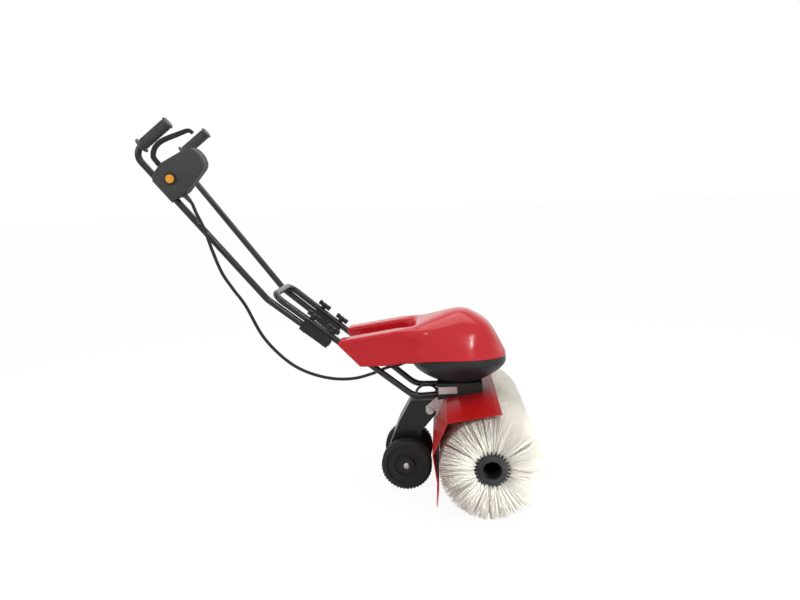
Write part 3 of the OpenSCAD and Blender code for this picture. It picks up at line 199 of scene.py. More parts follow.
def finish(name, dark, light, rough, grain, bump, metallic=0.0, coat=0.0, shine=0.25, blotch=9.0,
           stretch=(1, 1, 1)):
    # One moulded, painted or plated finish: the colour drifts between two tones in blotches,
    # and the grain gives roughness and bump.
    mat = bpy.data.materials.new(name)
    mat.use_nodes = True
    tree = mat.node_tree
    # The colour sockets of a Mix node go by number, because it has each name more than once.
    tone = new_node(tree, "ShaderNodeMix", {
        0: vary(tree, blotch, 0.0, 1.0, detail=6.0, stretch=stretch),
        6: (*dark, 1), 7: (*light, 1)}, data_type="RGBA")
    lift = new_node(tree, "ShaderNodeBump", {
        "Strength": bump, "Distance": BUMP_DEPTH,
        "Height": vary(tree, grain, 0.0, 1.0, detail=2.0, stretch=stretch)})
    feed(tree, tree.nodes["Principled BSDF"], {
        "Metallic": metallic, "Specular IOR Level": shine, "Coat Weight": coat,
        "Coat Roughness": COAT_ROUGHNESS, "Base Color": tone.outputs[2],
        "Roughness": vary(tree, grain / 3, *rough, detail=3.0, stretch=stretch),
        "Normal": lift.outputs["Normal"]})
    return mat


def piece(name, points, faces, material):
    mesh = bpy.data.meshes.new(name)
    mesh.from_pydata([tuple(p) for p in points], [], faces)
    mesh.update()
    mesh.materials.append(material)
    mesh.shade_smooth()
    return linked(name, mesh)


def tidy(ob):
    # Merges doubles and turns every face outwards.
    bm = bmesh.new()
    bm.from_mesh(ob.data)
    bmesh.ops.remove_doubles(bm, verts=bm.verts, dist=MERGE)
    bmesh.ops.recalc_face_normals(bm, faces=bm.faces)
    bm.to_mesh(ob.data)
    bm.free()
    ob.data.update()
    return ob


def sharpen(ob, angle=35):
    # Smooth faces with the edges sharper than the angle kept crisp.
    ob.data.shade_smooth()
    ob.data.set_sharp_from_angle(angle=math.radians(angle))
    return ob


def circle(sides):
    turns = [2 * math.pi * k / sides for k in range(sides)]
    return [(math.cos(turn), math.sin(turn)) for turn in turns]


def ring_faces(rings, sides, capped):
    # Quads between rings of points, one ring after the other, with a flat cap on both ends.
    faces = []
    for r in range(rings - 1):
        for k in range(sides):
            n = (k + 1) % sides
            faces.append((r * sides + k, r * sides + n, (r + 1) * sides + n, (r + 1) * sides + k))
    if capped:
        faces.append(tuple(range(sides)))
        faces.append(tuple(range((rings - 1) * sides, rings * sides)))
    return faces


def tube(path, slopes, radius, sides):
    # Rings of points round a path, with both ends closed.
    points = []
    for at, slope in zip(path, slopes):
        along = slope.normalized()
        side = along.cross(Vector((0, 1, 0))).normalized()
        lift = side.cross(along)
        points += [at + (side * c + lift * s) * radius for c, s in circle(sides)]
    return points, ring_faces(len(path), sides, True)


def cord_slope(i):
    if i == 0:
        return cord_out * (cord_points[1] - cord_points[0]).length
    if i == len(cord_points) - 1:
        return cord_in * (cord_points[-1] - cord_points[-2]).length
    return (cord_points[i + 1] - cord_points[i - 1]) / 2


path, slopes = [], []
for i in range(len(cord_points) - 1):
    a, b, u, w = cord_points[i], cord_points[i + 1], cord_slope(i), cord_slope(i + 1)
    for s in range(CORD_STEPS + (i == len(cord_points) - 2)):
        t = s / CORD_STEPS
        path.append(a * (2 * t**3 - 3 * t**2 + 1) + u * (t**3 - 2 * t**2 + t)
                    + b * (3 * t**2 - 2 * t**3) + w * (t**3 - t**2))
        slopes.append(a * (6 * t**2 - 6 * t) + u * (3 * t**2 - 4 * t + 1)
                      + b * (6 * t - 6 * t**2) + w * (3 * t**2 - 2 * t))
cord_rubber = finish("cord_rubber", (0.020, 0.020, 0.021), (0.034, 0.034, 0.035),
                     rough=(0.42, 0.58), grain=900, bump=0.25)
lead = tidy(piece("power_lead", *tube(path, slopes, CORD_D / 2, CORD_SIDES), cord_rubber))
sharpen(lead, 60)
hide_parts("power_cord")
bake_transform(lead)

GLAND_LEN = 0.024
GLAND_RIBS = 4
GLAND_RIB_FOOT = 0.0074
GLAND_RIB_PITCH = 0.0041
GLAND_RIB_R = 0.0072
GLAND_TAPER = 0.0004
gland_rib_steps = [(0.0012, 0.0), (0.0012, 0.0012), (0.0, 0.0016), (0.0, 0.0036)]


def axes(axis):
    # Two directions square to an axis, and the axis itself.
    along = Vector(axis).normalized()
    side = along.orthogonal().normalized()
    return side, along.cross(side), along


def lathe(profile, base, axis, sides):
    # Turns a profile of (radius, height) pairs round an axis; zero radii become poles.
    side, lift, along = axes(axis)
    points = []
    for radius, height in profile:
        foot = Vector(base) + along * height
        points += [foot + (side * c + lift * s) * radius for c, s in circle(sides)]
    return points, ring_faces(len(profile), sides, False)


grip_rubber = finish("grip_rubber", (0.045, 0.045, 0.047), (0.075, 0.075, 0.078),
                     rough=(0.38, 0.52), grain=700, bump=0.3, shine=0.5)
relief = [(0.0, -0.004), (0.008, -0.004), (0.008, 0.0), (0.006, 0.0), (0.006, 0.003),
          (0.0076, 0.003), (0.008, 0.0036), (0.008, 0.0064), (0.0074, 0.007)]
for rib in range(GLAND_RIBS):
    low = GLAND_RIB_FOOT + GLAND_RIB_PITCH * rib
    wide = GLAND_RIB_R - GLAND_TAPER * rib
    relief += [(wide - inset, low + rise) for inset, rise in gland_rib_steps]
relief += [(0.0053, GLAND_LEN), (0.0, GLAND_LEN)]
for name, node, body, tip, way in (
        ("box_relief", "box_gland", "right_handle", path[0], cord_out),
        ("bowl_relief", "bowl_gland", "chassis", path[-1], -cord_in)):
    gland = tidy(piece(name, *lathe(relief, tip - way * GLAND_LEN, way, sides=28), grip_rubber))
    sharpen(gland)
    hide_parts(node)
    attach(gland, body)


# Handle tubes: round steel tube, bent cold and powder-coated gloss black.
# The lower one is one bow plugged into the motor base; two upper ones lie under its legs.
def paint(material, *nodes):
    for node in nodes:
        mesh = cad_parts[node].data
        mesh.materials.clear()
        mesh.materials.append(material)


gloss_black = finish("gloss_black_coat", (0.010, 0.010, 0.011), (0.018, 0.018, 0.019),
                     rough=(0.12, 0.22), grain=260, bump=0.05, coat=0.25, shine=0.4, blotch=14)
paint(gloss_black, "lower_handle", "right_upper_handle", "left_upper_handle")


# Hand grips: moulded rubber sleeves pushed over the tube ends, with a hand stop and a thick rim.
# Rows of short raised ribs run along the sleeve between the two.
GRIP_LEN = 0.098
GRIP_END_X = -0.423
GRIP_END_Y = 0.153
GRIP_END_Z = 1.049
GRIP_RIBS = 12
GRIP_ROWS = 7
GRIP_ROW_R = 0.0139
GRIP_ROW_START = 0.0150
GRIP_ROW_PITCH = 0.0113
grip_dir = Vector((0.102, 0, 0.075)).normalized()
sleeve = [(0.0092, 0.0), (0.0200, 0.0), (0.0214, 0.0010), (0.0215, 0.0035), (0.0205, 0.0048),
          (0.0160, 0.0056), (0.0142, 0.0072), (0.0135, 0.0090), (0.0135, 0.0885),
          (0.0150, 0.0900), (0.0166, 0.0918), (0.0170, 0.0940), (0.0168, 0.0962),
          (0.0155, 0.0976), (0.0120, 0.0980), (0.0060, 0.0979), (0.0, 0.0978)]


def tree_with(name, sockets):
    # A new geometry tree with its named inputs.
    tree = bpy.data.node_groups.new(name, "GeometryNodeTree")
    tree.interface.new_socket("Geometry", in_out="OUTPUT", socket_type="NodeSocketGeometry")
    for label, kind in sockets:
        tree.interface.new_socket(label, in_out="INPUT", socket_type="NodeSocket" + kind)
    return tree, new_node(tree, "NodeGroupInput").outputs


def calculator(tree):
    # Gives a function that adds one Math node and returns its result.
    def calc(operation, *values):
        return new_node(tree, "ShaderNodeMath", enumerate(values), operation=operation).outputs[0]
    return calc


def combined(tree, x, y, z):
    return new_node(tree, "ShaderNodeCombineXYZ", {"X": x, "Y": y, "Z": z}).outputs["Vector"]


def set_copies(tree, given, model, count, spot, facing, scale=(1, 1, 1)):
    # Sets a copy of the model on each of a number of points, as one mesh in the given finish.
    line = new_node(tree, "GeometryNodeMeshLine", {"Count": count})
    moved = new_node(tree, "GeometryNodeSetPosition",
                     {"Geometry": line.outputs["Mesh"], "Position": spot})
    turned = new_node(tree, "FunctionNodeEulerToRotation", {0: facing})
    copied = new_node(tree, "GeometryNodeObjectInfo", {"Object": model})
    placed = new_node(tree, "GeometryNodeInstanceOnPoints", {
        "Points": moved.outputs["Geometry"], "Instance": copied.outputs["Geometry"],
        "Rotation": turned.outputs[0], "Scale": scale})
    real = new_node(tree, "GeometryNodeRealizeInstances", {"Geometry": placed.outputs["Instances"]})
    dressed = new_node(tree, "GeometryNodeSetMaterial",
                       {"Geometry": real.outputs["Geometry"], "Material": given["Finish"]})
    new_node(tree, "NodeGroupOutput", {"Geometry": dressed.outputs["Geometry"]})


def ring_rows_tree():
    # Studs on rings round the Z axis, one ring above the other, each turned by a share of a step.
    tree, given = tree_with("ring_rows", (
        ("Stud", "Object"), ("Around", "Int"), ("Rows", "Int"), ("Radius", "Float"),
        ("Start", "Float"), ("Pitch", "Float"), ("Stagger", "Float"), ("Finish", "Material")))
    calc = calculator(tree)
    index = new_node(tree, "GeometryNodeInputIndex").outputs[0]
    ring = calc("FLOOR", calc("DIVIDE", index, given["Around"]))
    step = calc("ADD", calc("MODULO", index, given["Around"]),
                calc("MULTIPLY", ring, given["Stagger"]))
    turn = calc("MULTIPLY", calc("DIVIDE", step, given["Around"]), 2 * math.pi)
    spot = combined(
        tree, calc("MULTIPLY", calc("COSINE", turn), given["Radius"]),
        calc("MULTIPLY", calc("SINE", turn), given["Radius"]),
        calc("ADD", calc("MULTIPLY", ring, given["Pitch"]), given["Start"]))
    count = calc("MULTIPLY", given["Around"], given["Rows"])
    set_copies(tree, given, given["Stud"], count, spot, combined(tree, 0.0, 0.0, turn))
    return tree


def settled(ob):
    # Makes what an object's modifiers give its plain mesh.
    evaluated = ob.evaluated_get(bpy.context.evaluated_depsgraph_get())
    mesh = bpy.data.meshes.new_from_object(evaluated)
    ob.modifiers.clear()
    ob.data = mesh
    return mesh


def grown(name, tree, sizes, matrix):
    # Evaluates a node tree with its named inputs set and keeps the result as a plain mesh.
    ob = linked(name, bpy.data.meshes.new(name + "_seed"))
    grower = ob.modifiers.new("grow", "NODES")
    grower.node_group = tree
    for socket in tree.interface.items_tree:
        if socket.in_out == "INPUT" and socket.name in sizes:
            grower[socket.identifier] = sizes[socket.name]
    mesh = settled(ob)
    mesh.name = name
    mesh.transform(matrix)
    return ob


def stud_template(name, deep, wide, tall, slope):
    # A low block on the YZ plane, its top drawn in on all sides, standing out along X.
    points = []
    for x, inset in ((-deep, 0.0), (deep * 0.55, 0.0), (deep, slope)):
        for y, z in ((-1, -1), (1, -1), (1, 1), (-1, 1)):
            points.append((x, y * (wide / 2 - inset), z * (tall / 2 - inset)))
    mesh = bpy.data.meshes.new(name)
    mesh.from_pydata(points, [], [(3, 2, 1, 0), (8, 9, 10, 11)] + ring_faces(3, 4, False))
    return bpy.data.objects.new(name, mesh)


def stand(base, axis):
    # Placing matrix with Z along the axis.
    return placing(*axes(axis), base)


def joined(name, parts):
    # Several finished meshes as one piece.
    bm = bmesh.new()
    for part in parts:
        bm.from_mesh(part.data)
    mesh = bpy.data.meshes.new(name)
    bm.to_mesh(mesh)
    bm.free()
    mesh.materials.append(parts[0].data.materials[0])
    for part in parts:
        bpy.data.objects.remove(part)
    return linked(name, mesh)


ring_rows = ring_rows_tree()
rib_stud = stud_template("grip_rib", deep=0.0016, wide=0.0036, tall=0.0098, slope=0.0007)
for name, node, body, side in (("right_hand_grip", "right_grip", "right_handle", -1),
                               ("left_hand_grip", "left_grip", "left_handle", 1)):
    foot = Vector((GRIP_END_X, side * GRIP_END_Y, GRIP_END_Z)) - grip_dir * GRIP_LEN
    core = tidy(piece(name + "_sleeve", *lathe(sleeve, foot, grip_dir, sides=48), grip_rubber))
    ribs = grown(name + "_ribs", ring_rows, {
        "Stud": rib_stud, "Around": GRIP_RIBS, "Rows": GRIP_ROWS, "Radius": GRIP_ROW_R,
        "Start": GRIP_ROW_START, "Pitch": GRIP_ROW_PITCH, "Stagger": 0.0,
        "Finish": grip_rubber}, stand(foot, grip_dir))
    grip = sharpen(joined(name, [core, ribs]), 40)
    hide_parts(node)
    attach(grip, body)


# Handle clamps: moulded plastic saddles between the tubes, drawn up by long bolts and winged knobs.
# Zinc-plated bolt heads show under each saddle.
moulded_black = finish("moulded_black", (0.016, 0.016, 0.017), (0.028, 0.028, 0.029),
                       rough=(0.40, 0.55), grain=1100, bump=0.35)
zinc = finish("zinc_plate", (0.42, 0.42, 0.40), (0.62, 0.62, 0.60),
              rough=(0.32, 0.45), grain=420, bump=0.06, metallic=1.0, shine=0.5, blotch=90)
paint(moulded_black, "right_clamp", "left_clamp", "right_rear_knob", "right_front_knob",
      "left_rear_knob", "left_front_knob")
paint(zinc, "clamp_bolts")


# Control box: two moulded halves screwed together round the right-hand tube.
# The outer half is hollow, with a flat face, a rolled edge, a bore for the button and a slot for
# the lever; the seam to the inner half stays open as a fine groove.
box_o = Vector((-0.42726, -0.13814, 0.84831))
box_v = Vector((0.789432, 0.000000, 0.613839))
box_u = Vector((-0.611184, -0.092899, 0.786018))
box_w = Vector((0.057025, -0.995676, -0.073337))
BOX_DEPTH = 0.137
BOX_HEIGHT = 0.090
BOX_SPLIT = 0.0065
BOX_OUT = 0.034
BOX_WALL = 0.003
CORNER_CUT = 0.12
CORNER_CUT_AGAIN = 0.25
BUTTON_V = 0.27 * BOX_DEPTH
BUTTON_U = 0.478 * BOX_HEIGHT
BUTTON_BORE = 0.0113
LEVER_MID = 0.012
SLOT_HALF = 0.0062
slot_shares = [(0.17, 0.86), (0.36, 0.86), (0.36, 1.06), (0.17, 1.06)]
box_shares = [
    (-0.02, 0), (-0.02, 0.86), (0.15, 0.95), (0.33, 1), (0.80, 0.85), (0.88, 0.815), (0.945, 0.75),
    (0.985, 0.66), (1, 0.55), (1, 0.42), (0.985, 0.30), (0.95, 0.17), (0.90, 0.09), (0.84, 0.045),
    (0.30, -0.11), (0.17, -0.09)]


def on_box(v, u, w):
    return box_o + box_v * v + box_u * u + box_w * w


def sized(shares):
    return [(v * BOX_DEPTH, u * BOX_HEIGHT) for v, u in shares]


def softened(outline):
    # Cuts every corner of a closed outline twice, so that it reads as a small radius.
    for share in (CORNER_CUT, CORNER_CUT_AGAIN):
        cut = []
        for i, (x, y) in enumerate(outline):
            bx, by = outline[i - 1]
            nx, ny = outline[(i + 1) % len(outline)]
            cut.append((x + (bx - x) * share, y + (by - y) * share))
            cut.append((x + (nx - x) * share, y + (ny - y) * share))
        outline = cut
    return outline


def shrunk(outline, inset):
    # Moves every corner inwards along the mean of its two sides.
    area = sum(a[0] * b[1] - b[0] * a[1] for a, b in zip(outline, outline[1:] + outline[:1]))
    sign = 1 if area > 0 else -1
    moved = []
    for i, here in enumerate(outline):
        before, after = Vector(outline[i - 1]), Vector(outline[(i + 1) % len(outline)])
        one = (Vector(here) - before).normalized()
        two = (after - Vector(here)).normalized()
        inward = Vector((-(one.y + two.y), one.x + two.x)).normalized() * sign
        moved.append((here[0] + inward.x * inset, here[1] + inward.y * inset))
    return moved


def box_shell(name, outline, levels):
    # A closed shell on the box: each level is (height, inset), with flat caps at both ends.
    points = []
    for height, inset in levels:
        points += [on_box(x, y, height) for x, y in shrunk(outline, inset)]
    return tidy(piece(name, points, ring_faces(len(levels), len(outline), True), box_grey))


box_grey = finish("box_grey", (0.048, 0.048, 0.050), (0.066, 0.066, 0.068),
                  rough=(0.42, 0.56), grain=1500, bump=0.4, blotch=20)
box_corners = sized(box_shares)
lid = box_shell("control_box_lid", softened(box_corners), [
    (BOX_SPLIT, 0.0012), (BOX_SPLIT + 0.0008, 0.0003), (BOX_SPLIT + 0.0016, 0.0),
    (BOX_OUT - 0.0040, 0.0004), (BOX_OUT - 0.0022, 0.0008), (BOX_OUT - 0.0010, 0.0017),
    (BOX_OUT - 0.0003, 0.0029), (BOX_OUT, 0.0044)])
button_foot = on_box(BUTTON_V, BUTTON_U, 0.0)
hollow = box_shell("lid_hollow", shrunk(box_corners, BOX_WALL),
                   [(BOX_SPLIT - BOX_WALL, 0.0), (BOX_OUT - BOX_WALL, 0.0)])
bore_profile = [(0.0, BOX_SPLIT), (BUTTON_BORE, BOX_SPLIT), (BUTTON_BORE, BOX_OUT + BOX_WALL),
                (0.0, BOX_OUT + BOX_WALL)]
bore = tidy(piece("button_bore", *lathe(bore_profile, button_foot, box_w, sides=40), box_grey))
slot = box_shell("lever_slot", sized(slot_shares),
                 [(BOX_SPLIT - BOX_WALL, 0.0), (LEVER_MID + SLOT_HALF, 0.0)])
for cutter in (hollow, bore, slot):
    cut = lid.modifiers.new(cutter.name, "BOOLEAN")
    cut.operation = "DIFFERENCE"
    cut.object = cutter
settled(lid)
for cutter in (hollow, bore, slot):
    bpy.data.objects.remove(cutter)
sharpen(tidy(lid), 50)
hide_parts("switch_box_outer")
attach(lid, "right_handle")
paint(box_grey, "switch_box_inner")
paint(zinc, "switch_box_screws", "lever_pin")
paint(moulded_black, "switch_block")


# Hold-to-run lever: one moulded bow that swings up against the grip, pinned inside the box.
# Its section is a soft-edged band, a little thinner towards the drooping tip.
LEVER_BAND = 0.0135
LEVER_THICK = 0.010
LEVER_SIDES = 16
LEVER_STEPS = 6
LEVER_SOFTNESS = 0.45
TIP_FROM = 0.7
TIP_THINNING = 0.35
TIP_THICK_SHARE = 0.25
lever_shares = [
    (0.263, 0.81), (0.252, 1.02), (0.256, 1.187), (0.272, 1.298), (0.347, 1.398), (0.442, 1.457),
    (0.559, 1.463), (0.681, 1.421), (0.888, 1.308), (1.092, 1.192), (1.138, 1.119), (1.15, 1.03)]


def smooth_line(corners, steps):
    # A curve through all the corners.
    line = []
    last = len(corners) - 1
    for i in range(last):
        before, after = corners[max(i - 1, 0)], corners[min(i + 2, last)]
        a, b = corners[i], corners[i + 1]
        for s in range(steps + (i == last - 1)):
            t = s / steps
            line.append(0.5 * (2 * a + (b - before) * t
                               + (2 * before - 5 * a + 4 * b - after) * t**2
                               + (3 * a - before - 3 * b + after) * t**3))
    return line


lever_run = smooth_line([Vector(corner) for corner in sized(lever_shares)], LEVER_STEPS)
section = []
for k in range(LEVER_SIDES):
    turn = 2 * math.pi * (k + 0.5) / LEVER_SIDES
    c, s = math.cos(turn), math.sin(turn)
    section.append((math.copysign(abs(c) ** LEVER_SOFTNESS, c),
                    math.copysign(abs(s) ** LEVER_SOFTNESS, s)))
points = []
last = len(lever_run) - 1
for i, at in enumerate(lever_run):
    ahead = (lever_run[min(i + 1, last)] - lever_run[max(i - 1, 0)]).normalized()
    across = Vector((-ahead.y, ahead.x))
    thin = 1.0 - TIP_THINNING * max(0.0, i / last - TIP_FROM) / (1 - TIP_FROM)
    thick = LEVER_THICK / 2 * (1 - TIP_THICK_SHARE + TIP_THICK_SHARE * thin)
    for x, z in section:
        spot = at + across * (x * LEVER_BAND / 2 * thin)
        points.append(on_box(spot.x, spot.y, LEVER_MID + z * thick))
lever_faces = ring_faces(len(lever_run), LEVER_SIDES, True)
lever = sharpen(tidy(piece("run_lever", points, lever_faces, moulded_black)), 50)
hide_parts("dead_man_lever")
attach(lever, "lever")


# Run button: a domed cap moulded in orange plastic, which slides in the bore of the box.
# A black moulded bezel round it is fixed to the face of the box.
BEZEL_OUT = BOX_OUT + 0.004
BEZEL_R = 0.01108
BUTTON_R = 0.0110
BUTTON_IN = 0.0095
button_orange = finish("button_orange", (0.90, 0.36, 0.030), (0.97, 0.45, 0.050),
                       rough=(0.22, 0.34), grain=300, bump=0.1, blotch=60)
collar = [(BEZEL_R, BOX_OUT), (0.0150, BOX_OUT), (0.0155, BOX_OUT + 0.0006),
          (0.0155, BOX_OUT + 0.0024), (0.0147, BOX_OUT + 0.0036), (0.0136, BEZEL_OUT),
          (0.0122, BEZEL_OUT), (0.01125, BEZEL_OUT - 0.0006), (BEZEL_R, BEZEL_OUT - 0.0014),
          (BEZEL_R, BOX_OUT)]
bezel = tidy(piece("bezel_ring", *lathe(collar, button_foot, box_w, sides=48), moulded_black))
sharpen(bezel, 30)
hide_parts("button_bezel")
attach(bezel, "right_handle")
cap = [(0.0, BUTTON_IN), (BUTTON_R, BUTTON_IN), (BUTTON_R, BOX_OUT + 0.0078),
       (0.0107, BOX_OUT + 0.0088), (0.0098, BOX_OUT + 0.0096), (0.0085, BOX_OUT + 0.0099),
       (0.0060, BOX_OUT + 0.0096), (0.0030, BOX_OUT + 0.0093), (0.0, BOX_OUT + 0.0092)]
button = tidy(piece("orange_button", *lathe(cap, button_foot, box_w, sides=40), button_orange))
sharpen(button, 40)
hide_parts("run_button")
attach(button, "button")


# Motor cover: one vacuum-formed shell in glossy red plastic, a bulb over the motor with two arms.
# The hollow arms shroud the legs of the handle; the rim sits over the bowl and is screwed to it.
# Hulls over balls and rolls give the rough form, which is remeshed, rounded and cut open below.
BRUSH_X = 0.385
MOTOR_X = 0.316
SEAM_Z = 0.372
BOWL_R = 0.134
SKIN = 0.003
ARM_MID = 0.096
ARM_W = 0.056
BALL_RINGS = 12
BRIDGE_STEPS = 24
BRIDGE_FROM = 90
BRIDGE_TO = 150
COVER_VOXEL = 0.0042
BULB_ROUNDING = 150
BULB_FROM = 0.150
BULB_FROM_SHIFT = 0.10
BULB_RIM = 0.004
BULB_RIM_SHIFT = 0.016
SEAM_RISE = 0.009
SEAM_RISE_FROM = 0.15
SEAM_RISE_RUN = 0.06
OPEN_TILT = -0.70
OPEN_BEHIND = MOTOR_X - BOWL_R * 0.9
cover_rims = (SEAM_Z - 0.030, SEAM_Z + 0.012)
arm_flanks = (ARM_MID - ARM_W / 2, ARM_MID + ARM_W / 2)
cover_balls = [(-0.180, 0.090, 0.457, 0.020), (-0.060, 0.026, 0.470, 0.042),
               (-0.014, 0.042, 0.437, 0.045)]
arm_knuckles = [(-0.1899, 0.4549, 0.020), (-0.3940, 0.4367, 0.009), (-0.3290, 0.3805, 0.018),
                (-0.2002, 0.3982, 0.020)]


def wrapped(bm, points):
    # Stretches a closed skin over a set of points.
    verts = [bm.verts.new(p) for p in points]
    made = bmesh.ops.convex_hull(bm, input=verts)
    spare = made["geom_interior"] + made["geom_unused"]
    loose = {v for v in spare if isinstance(v, bmesh.types.BMVert)}
    bmesh.ops.delete(bm, geom=list(loose), context="VERTS")


def share_of(value, start, run):
    return min(max((value - start) / run, 0.0), 1.0)


def seam_rise(at):
    # The joint between cover and bowl lies level at the front and rises towards the sides.
    return SEAM_RISE * share_of(at.x, SEAM_RISE_FROM, SEAM_RISE_RUN) * (at.y / BOWL_R) ** 2


def ball(centre, radius):
    points = []
    for i in range(BALL_RINGS + 1):
        lat = math.pi * (i / BALL_RINGS - 0.5)
        for c, s in circle(2 * BALL_RINGS):
            way = Vector((math.cos(lat) * c, math.cos(lat) * s, math.sin(lat)))
            points.append(Vector(centre) + radius * way)
    return points


def roll(knuckle, c, s, side):
    x, z, r = knuckle
    return [(BRUSH_X + x + r * c, side * y, z + r * s) for y in arm_flanks]


bm = bmesh.new()
bulb = []
for c, s in circle(96):
    bulb += [(MOTOR_X + BOWL_R * c, BOWL_R * s, z) for z in cover_rims]
for x, y, z, r in cover_balls:
    for side in (-1, 1):
        bulb += ball((BRUSH_X + x, side * y, z), r)
wrapped(bm, bulb)
for side in (-1, 1):
    arm = []
    for knuckle in arm_knuckles:
        for c, s in circle(32):
            arm += roll(knuckle, c, s, side)
    wrapped(bm, arm)
    bridge = []
    for k, (c, s) in enumerate(circle(BRIDGE_STEPS)):
        turn = math.radians(BRIDGE_FROM + (BRIDGE_TO - BRIDGE_FROM) * k / (BRIDGE_STEPS - 1))
        x, y = MOTOR_X + BOWL_R * math.cos(turn), side * BOWL_R * math.sin(turn)
        bridge += [(x, y, z) for z in cover_rims]
        bridge += roll(arm_knuckles[-1], c, s, side)
    wrapped(bm, bridge)
mesh = bpy.data.meshes.new("red_cover")
bm.to_mesh(mesh)
bm.free()
cover = linked("red_cover", mesh)
for kind, values in (
        ("REMESH", {"mode": "VOXEL", "voxel_size": COVER_VOXEL, "use_smooth_shade": True}),
        ("SMOOTH", {"factor": 0.5, "iterations": 8})):
    step = cover.modifiers.new(kind.lower(), kind)
    for key, value in values.items():
        setattr(step, key, value)
mesh = settled(cover)
bm = bmesh.new()
bm.from_mesh(mesh)
for blow in range(BULB_ROUNDING):
    share = blow / BULB_ROUNDING
    front = BULB_FROM + BULB_FROM_SHIFT * share
    above = SEAM_Z + BULB_RIM + BULB_RIM_SHIFT * share
    bulb_skin = [v for v in bm.verts if v.co.x > front and v.co.z > above]
    bmesh.ops.smooth_vert(bm, verts=bulb_skin, factor=0.5,
                          use_axis_x=True, use_axis_y=True, use_axis_z=True)
for v in bm.verts:
    v.co.z -= seam_rise(v.co)
bmesh.ops.bisect_plane(bm, geom=bm.verts[:] + bm.edges[:] + bm.faces[:], plane_co=(0, 0, SEAM_Z),
                       plane_no=(0, 0, 1), clear_inner=True)
for v in bm.verts:
    v.co.z += seam_rise(v.co)
bm.normal_update()
open_below = [f for f in bm.faces
              if f.normal.z < OPEN_TILT and f.calc_center_median().x < OPEN_BEHIND]
bmesh.ops.delete(bm, geom=open_below, context="FACES")
bm.to_mesh(mesh)
bm.free()
mesh.shade_smooth()
wall = cover.modifiers.new("wall", "SOLIDIFY")
wall.thickness = SKIN
wall.offset = -1.0
red_gloss = finish("red_gloss", (0.55, 0.010, 0.016), (0.62, 0.013, 0.021),
                   rough=(0.14, 0.22), grain=130, bump=0.02, coat=0.2, blotch=5)
mesh.materials.clear()
mesh.materials.append(red_gloss)
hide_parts("motor_cover")
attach(cover, "chassis")


# Motor bowl: deep round tub moulded in satin black plastic, with a rolled lip under the cover.
# It carries the motor and stands on the base block.
BOWL_FLOOR_R = 0.070
BOWL_FLOOR_Z = 0.305
BOWL_LIP = 0.018
BOWL_RISE = SEAM_Z - BOWL_LIP - BOWL_FLOOR_Z
BOWL_HOLE = 0.012
BOWL_STEPS = 24
BOWL_CURVE = 1.6
LIP_TOP = SEAM_Z - 0.0006
bowl_black = finish("bowl_black", (0.018, 0.018, 0.020), (0.030, 0.030, 0.033),
                    rough=(0.30, 0.44), grain=1200, bump=0.22, blotch=12)
outside = []
for i in range(BOWL_STEPS + 1):
    t = i / BOWL_STEPS
    outside.append((BOWL_FLOOR_R + (BOWL_R - BOWL_FLOOR_R) * (1 - (1 - t) ** BOWL_CURVE),
                    BOWL_FLOOR_Z + BOWL_RISE * t))
inside = [(r - SKIN, z + SKIN) for r, z in reversed(outside)]
lip = [(BOWL_R, SEAM_Z - 0.006), (BOWL_R - 0.0004, SEAM_Z - 0.0022), (BOWL_R - 0.0016, LIP_TOP),
       (BOWL_R - SKIN, LIP_TOP)]
hole = [(BOWL_HOLE, BOWL_FLOOR_Z + SKIN), (BOWL_HOLE, BOWL_FLOOR_Z)]
profile = hole[1:] + outside + lip + inside + hole
bowl = tidy(piece("motor_tub", *lathe(profile, (MOTOR_X, 0, 0), (0, 0, 1), sides=96), bowl_black))
for v in bowl.data.vertices:
    v.co.z += seam_rise(v.co) * share_of(v.co.z, BOWL_FLOOR_Z, BOWL_RISE)
sharpen(bowl, 40)
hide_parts("motor_bowl")
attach(bowl, "chassis")
paint(zinc, "cover_screws")


# Base block: a casting between hood and bowl, painted black; the legs of the handle plug into it.
# A plate of bare brushed metal is fixed to its side.
cast_black = finish("cast_black", (0.012, 0.013, 0.013), (0.022, 0.023, 0.023),
                    rough=(0.34, 0.50), grain=520, bump=0.3, blotch=18)
bare_metal = finish("bare_metal", (0.52, 0.53, 0.54), (0.68, 0.69, 0.70),
                    rough=(0.30, 0.42), grain=160, bump=0.02, metallic=1.0, shine=0.5, blotch=40,
                    stretch=(1, 1, 14))
paint(cast_black, "motor_base")
paint(bare_metal, "bare_plate")


# Motor and gears inside: wound stator, rotor with fan, ball bearings, steel worm and bronze wheel.
# They are closed in by the cover, the bowl and a cast case in two halves.
lacquer = finish("winding_lacquer", (0.20, 0.09, 0.03), (0.36, 0.18, 0.07),
                 rough=(0.25, 0.45), grain=300, bump=0.3, blotch=60)
bronze = finish("wheel_bronze", (0.48, 0.30, 0.09), (0.62, 0.42, 0.15),
                rough=(0.25, 0.40), grain=300, bump=0.15, metallic=1.0, shine=0.5)
cast_grey = finish("cast_grey", (0.16, 0.165, 0.175), (0.26, 0.265, 0.275),
                   rough=(0.45, 0.62), grain=620, bump=0.4, metallic=0.6)
paint(lacquer, "stator")
paint(bare_metal, "rotor", "upper_bearing", "lower_bearing", "worm", "output_shaft",
      "shaft_bearings")
paint(moulded_black, "fan")
paint(cast_grey, "bearing_bridge", "right_gear_case", "left_gear_case")
paint(zinc, "case_screws", "core_pins")
paint(bronze, "worm_wheel")
paint(grip_rubber, "shaft_seals")
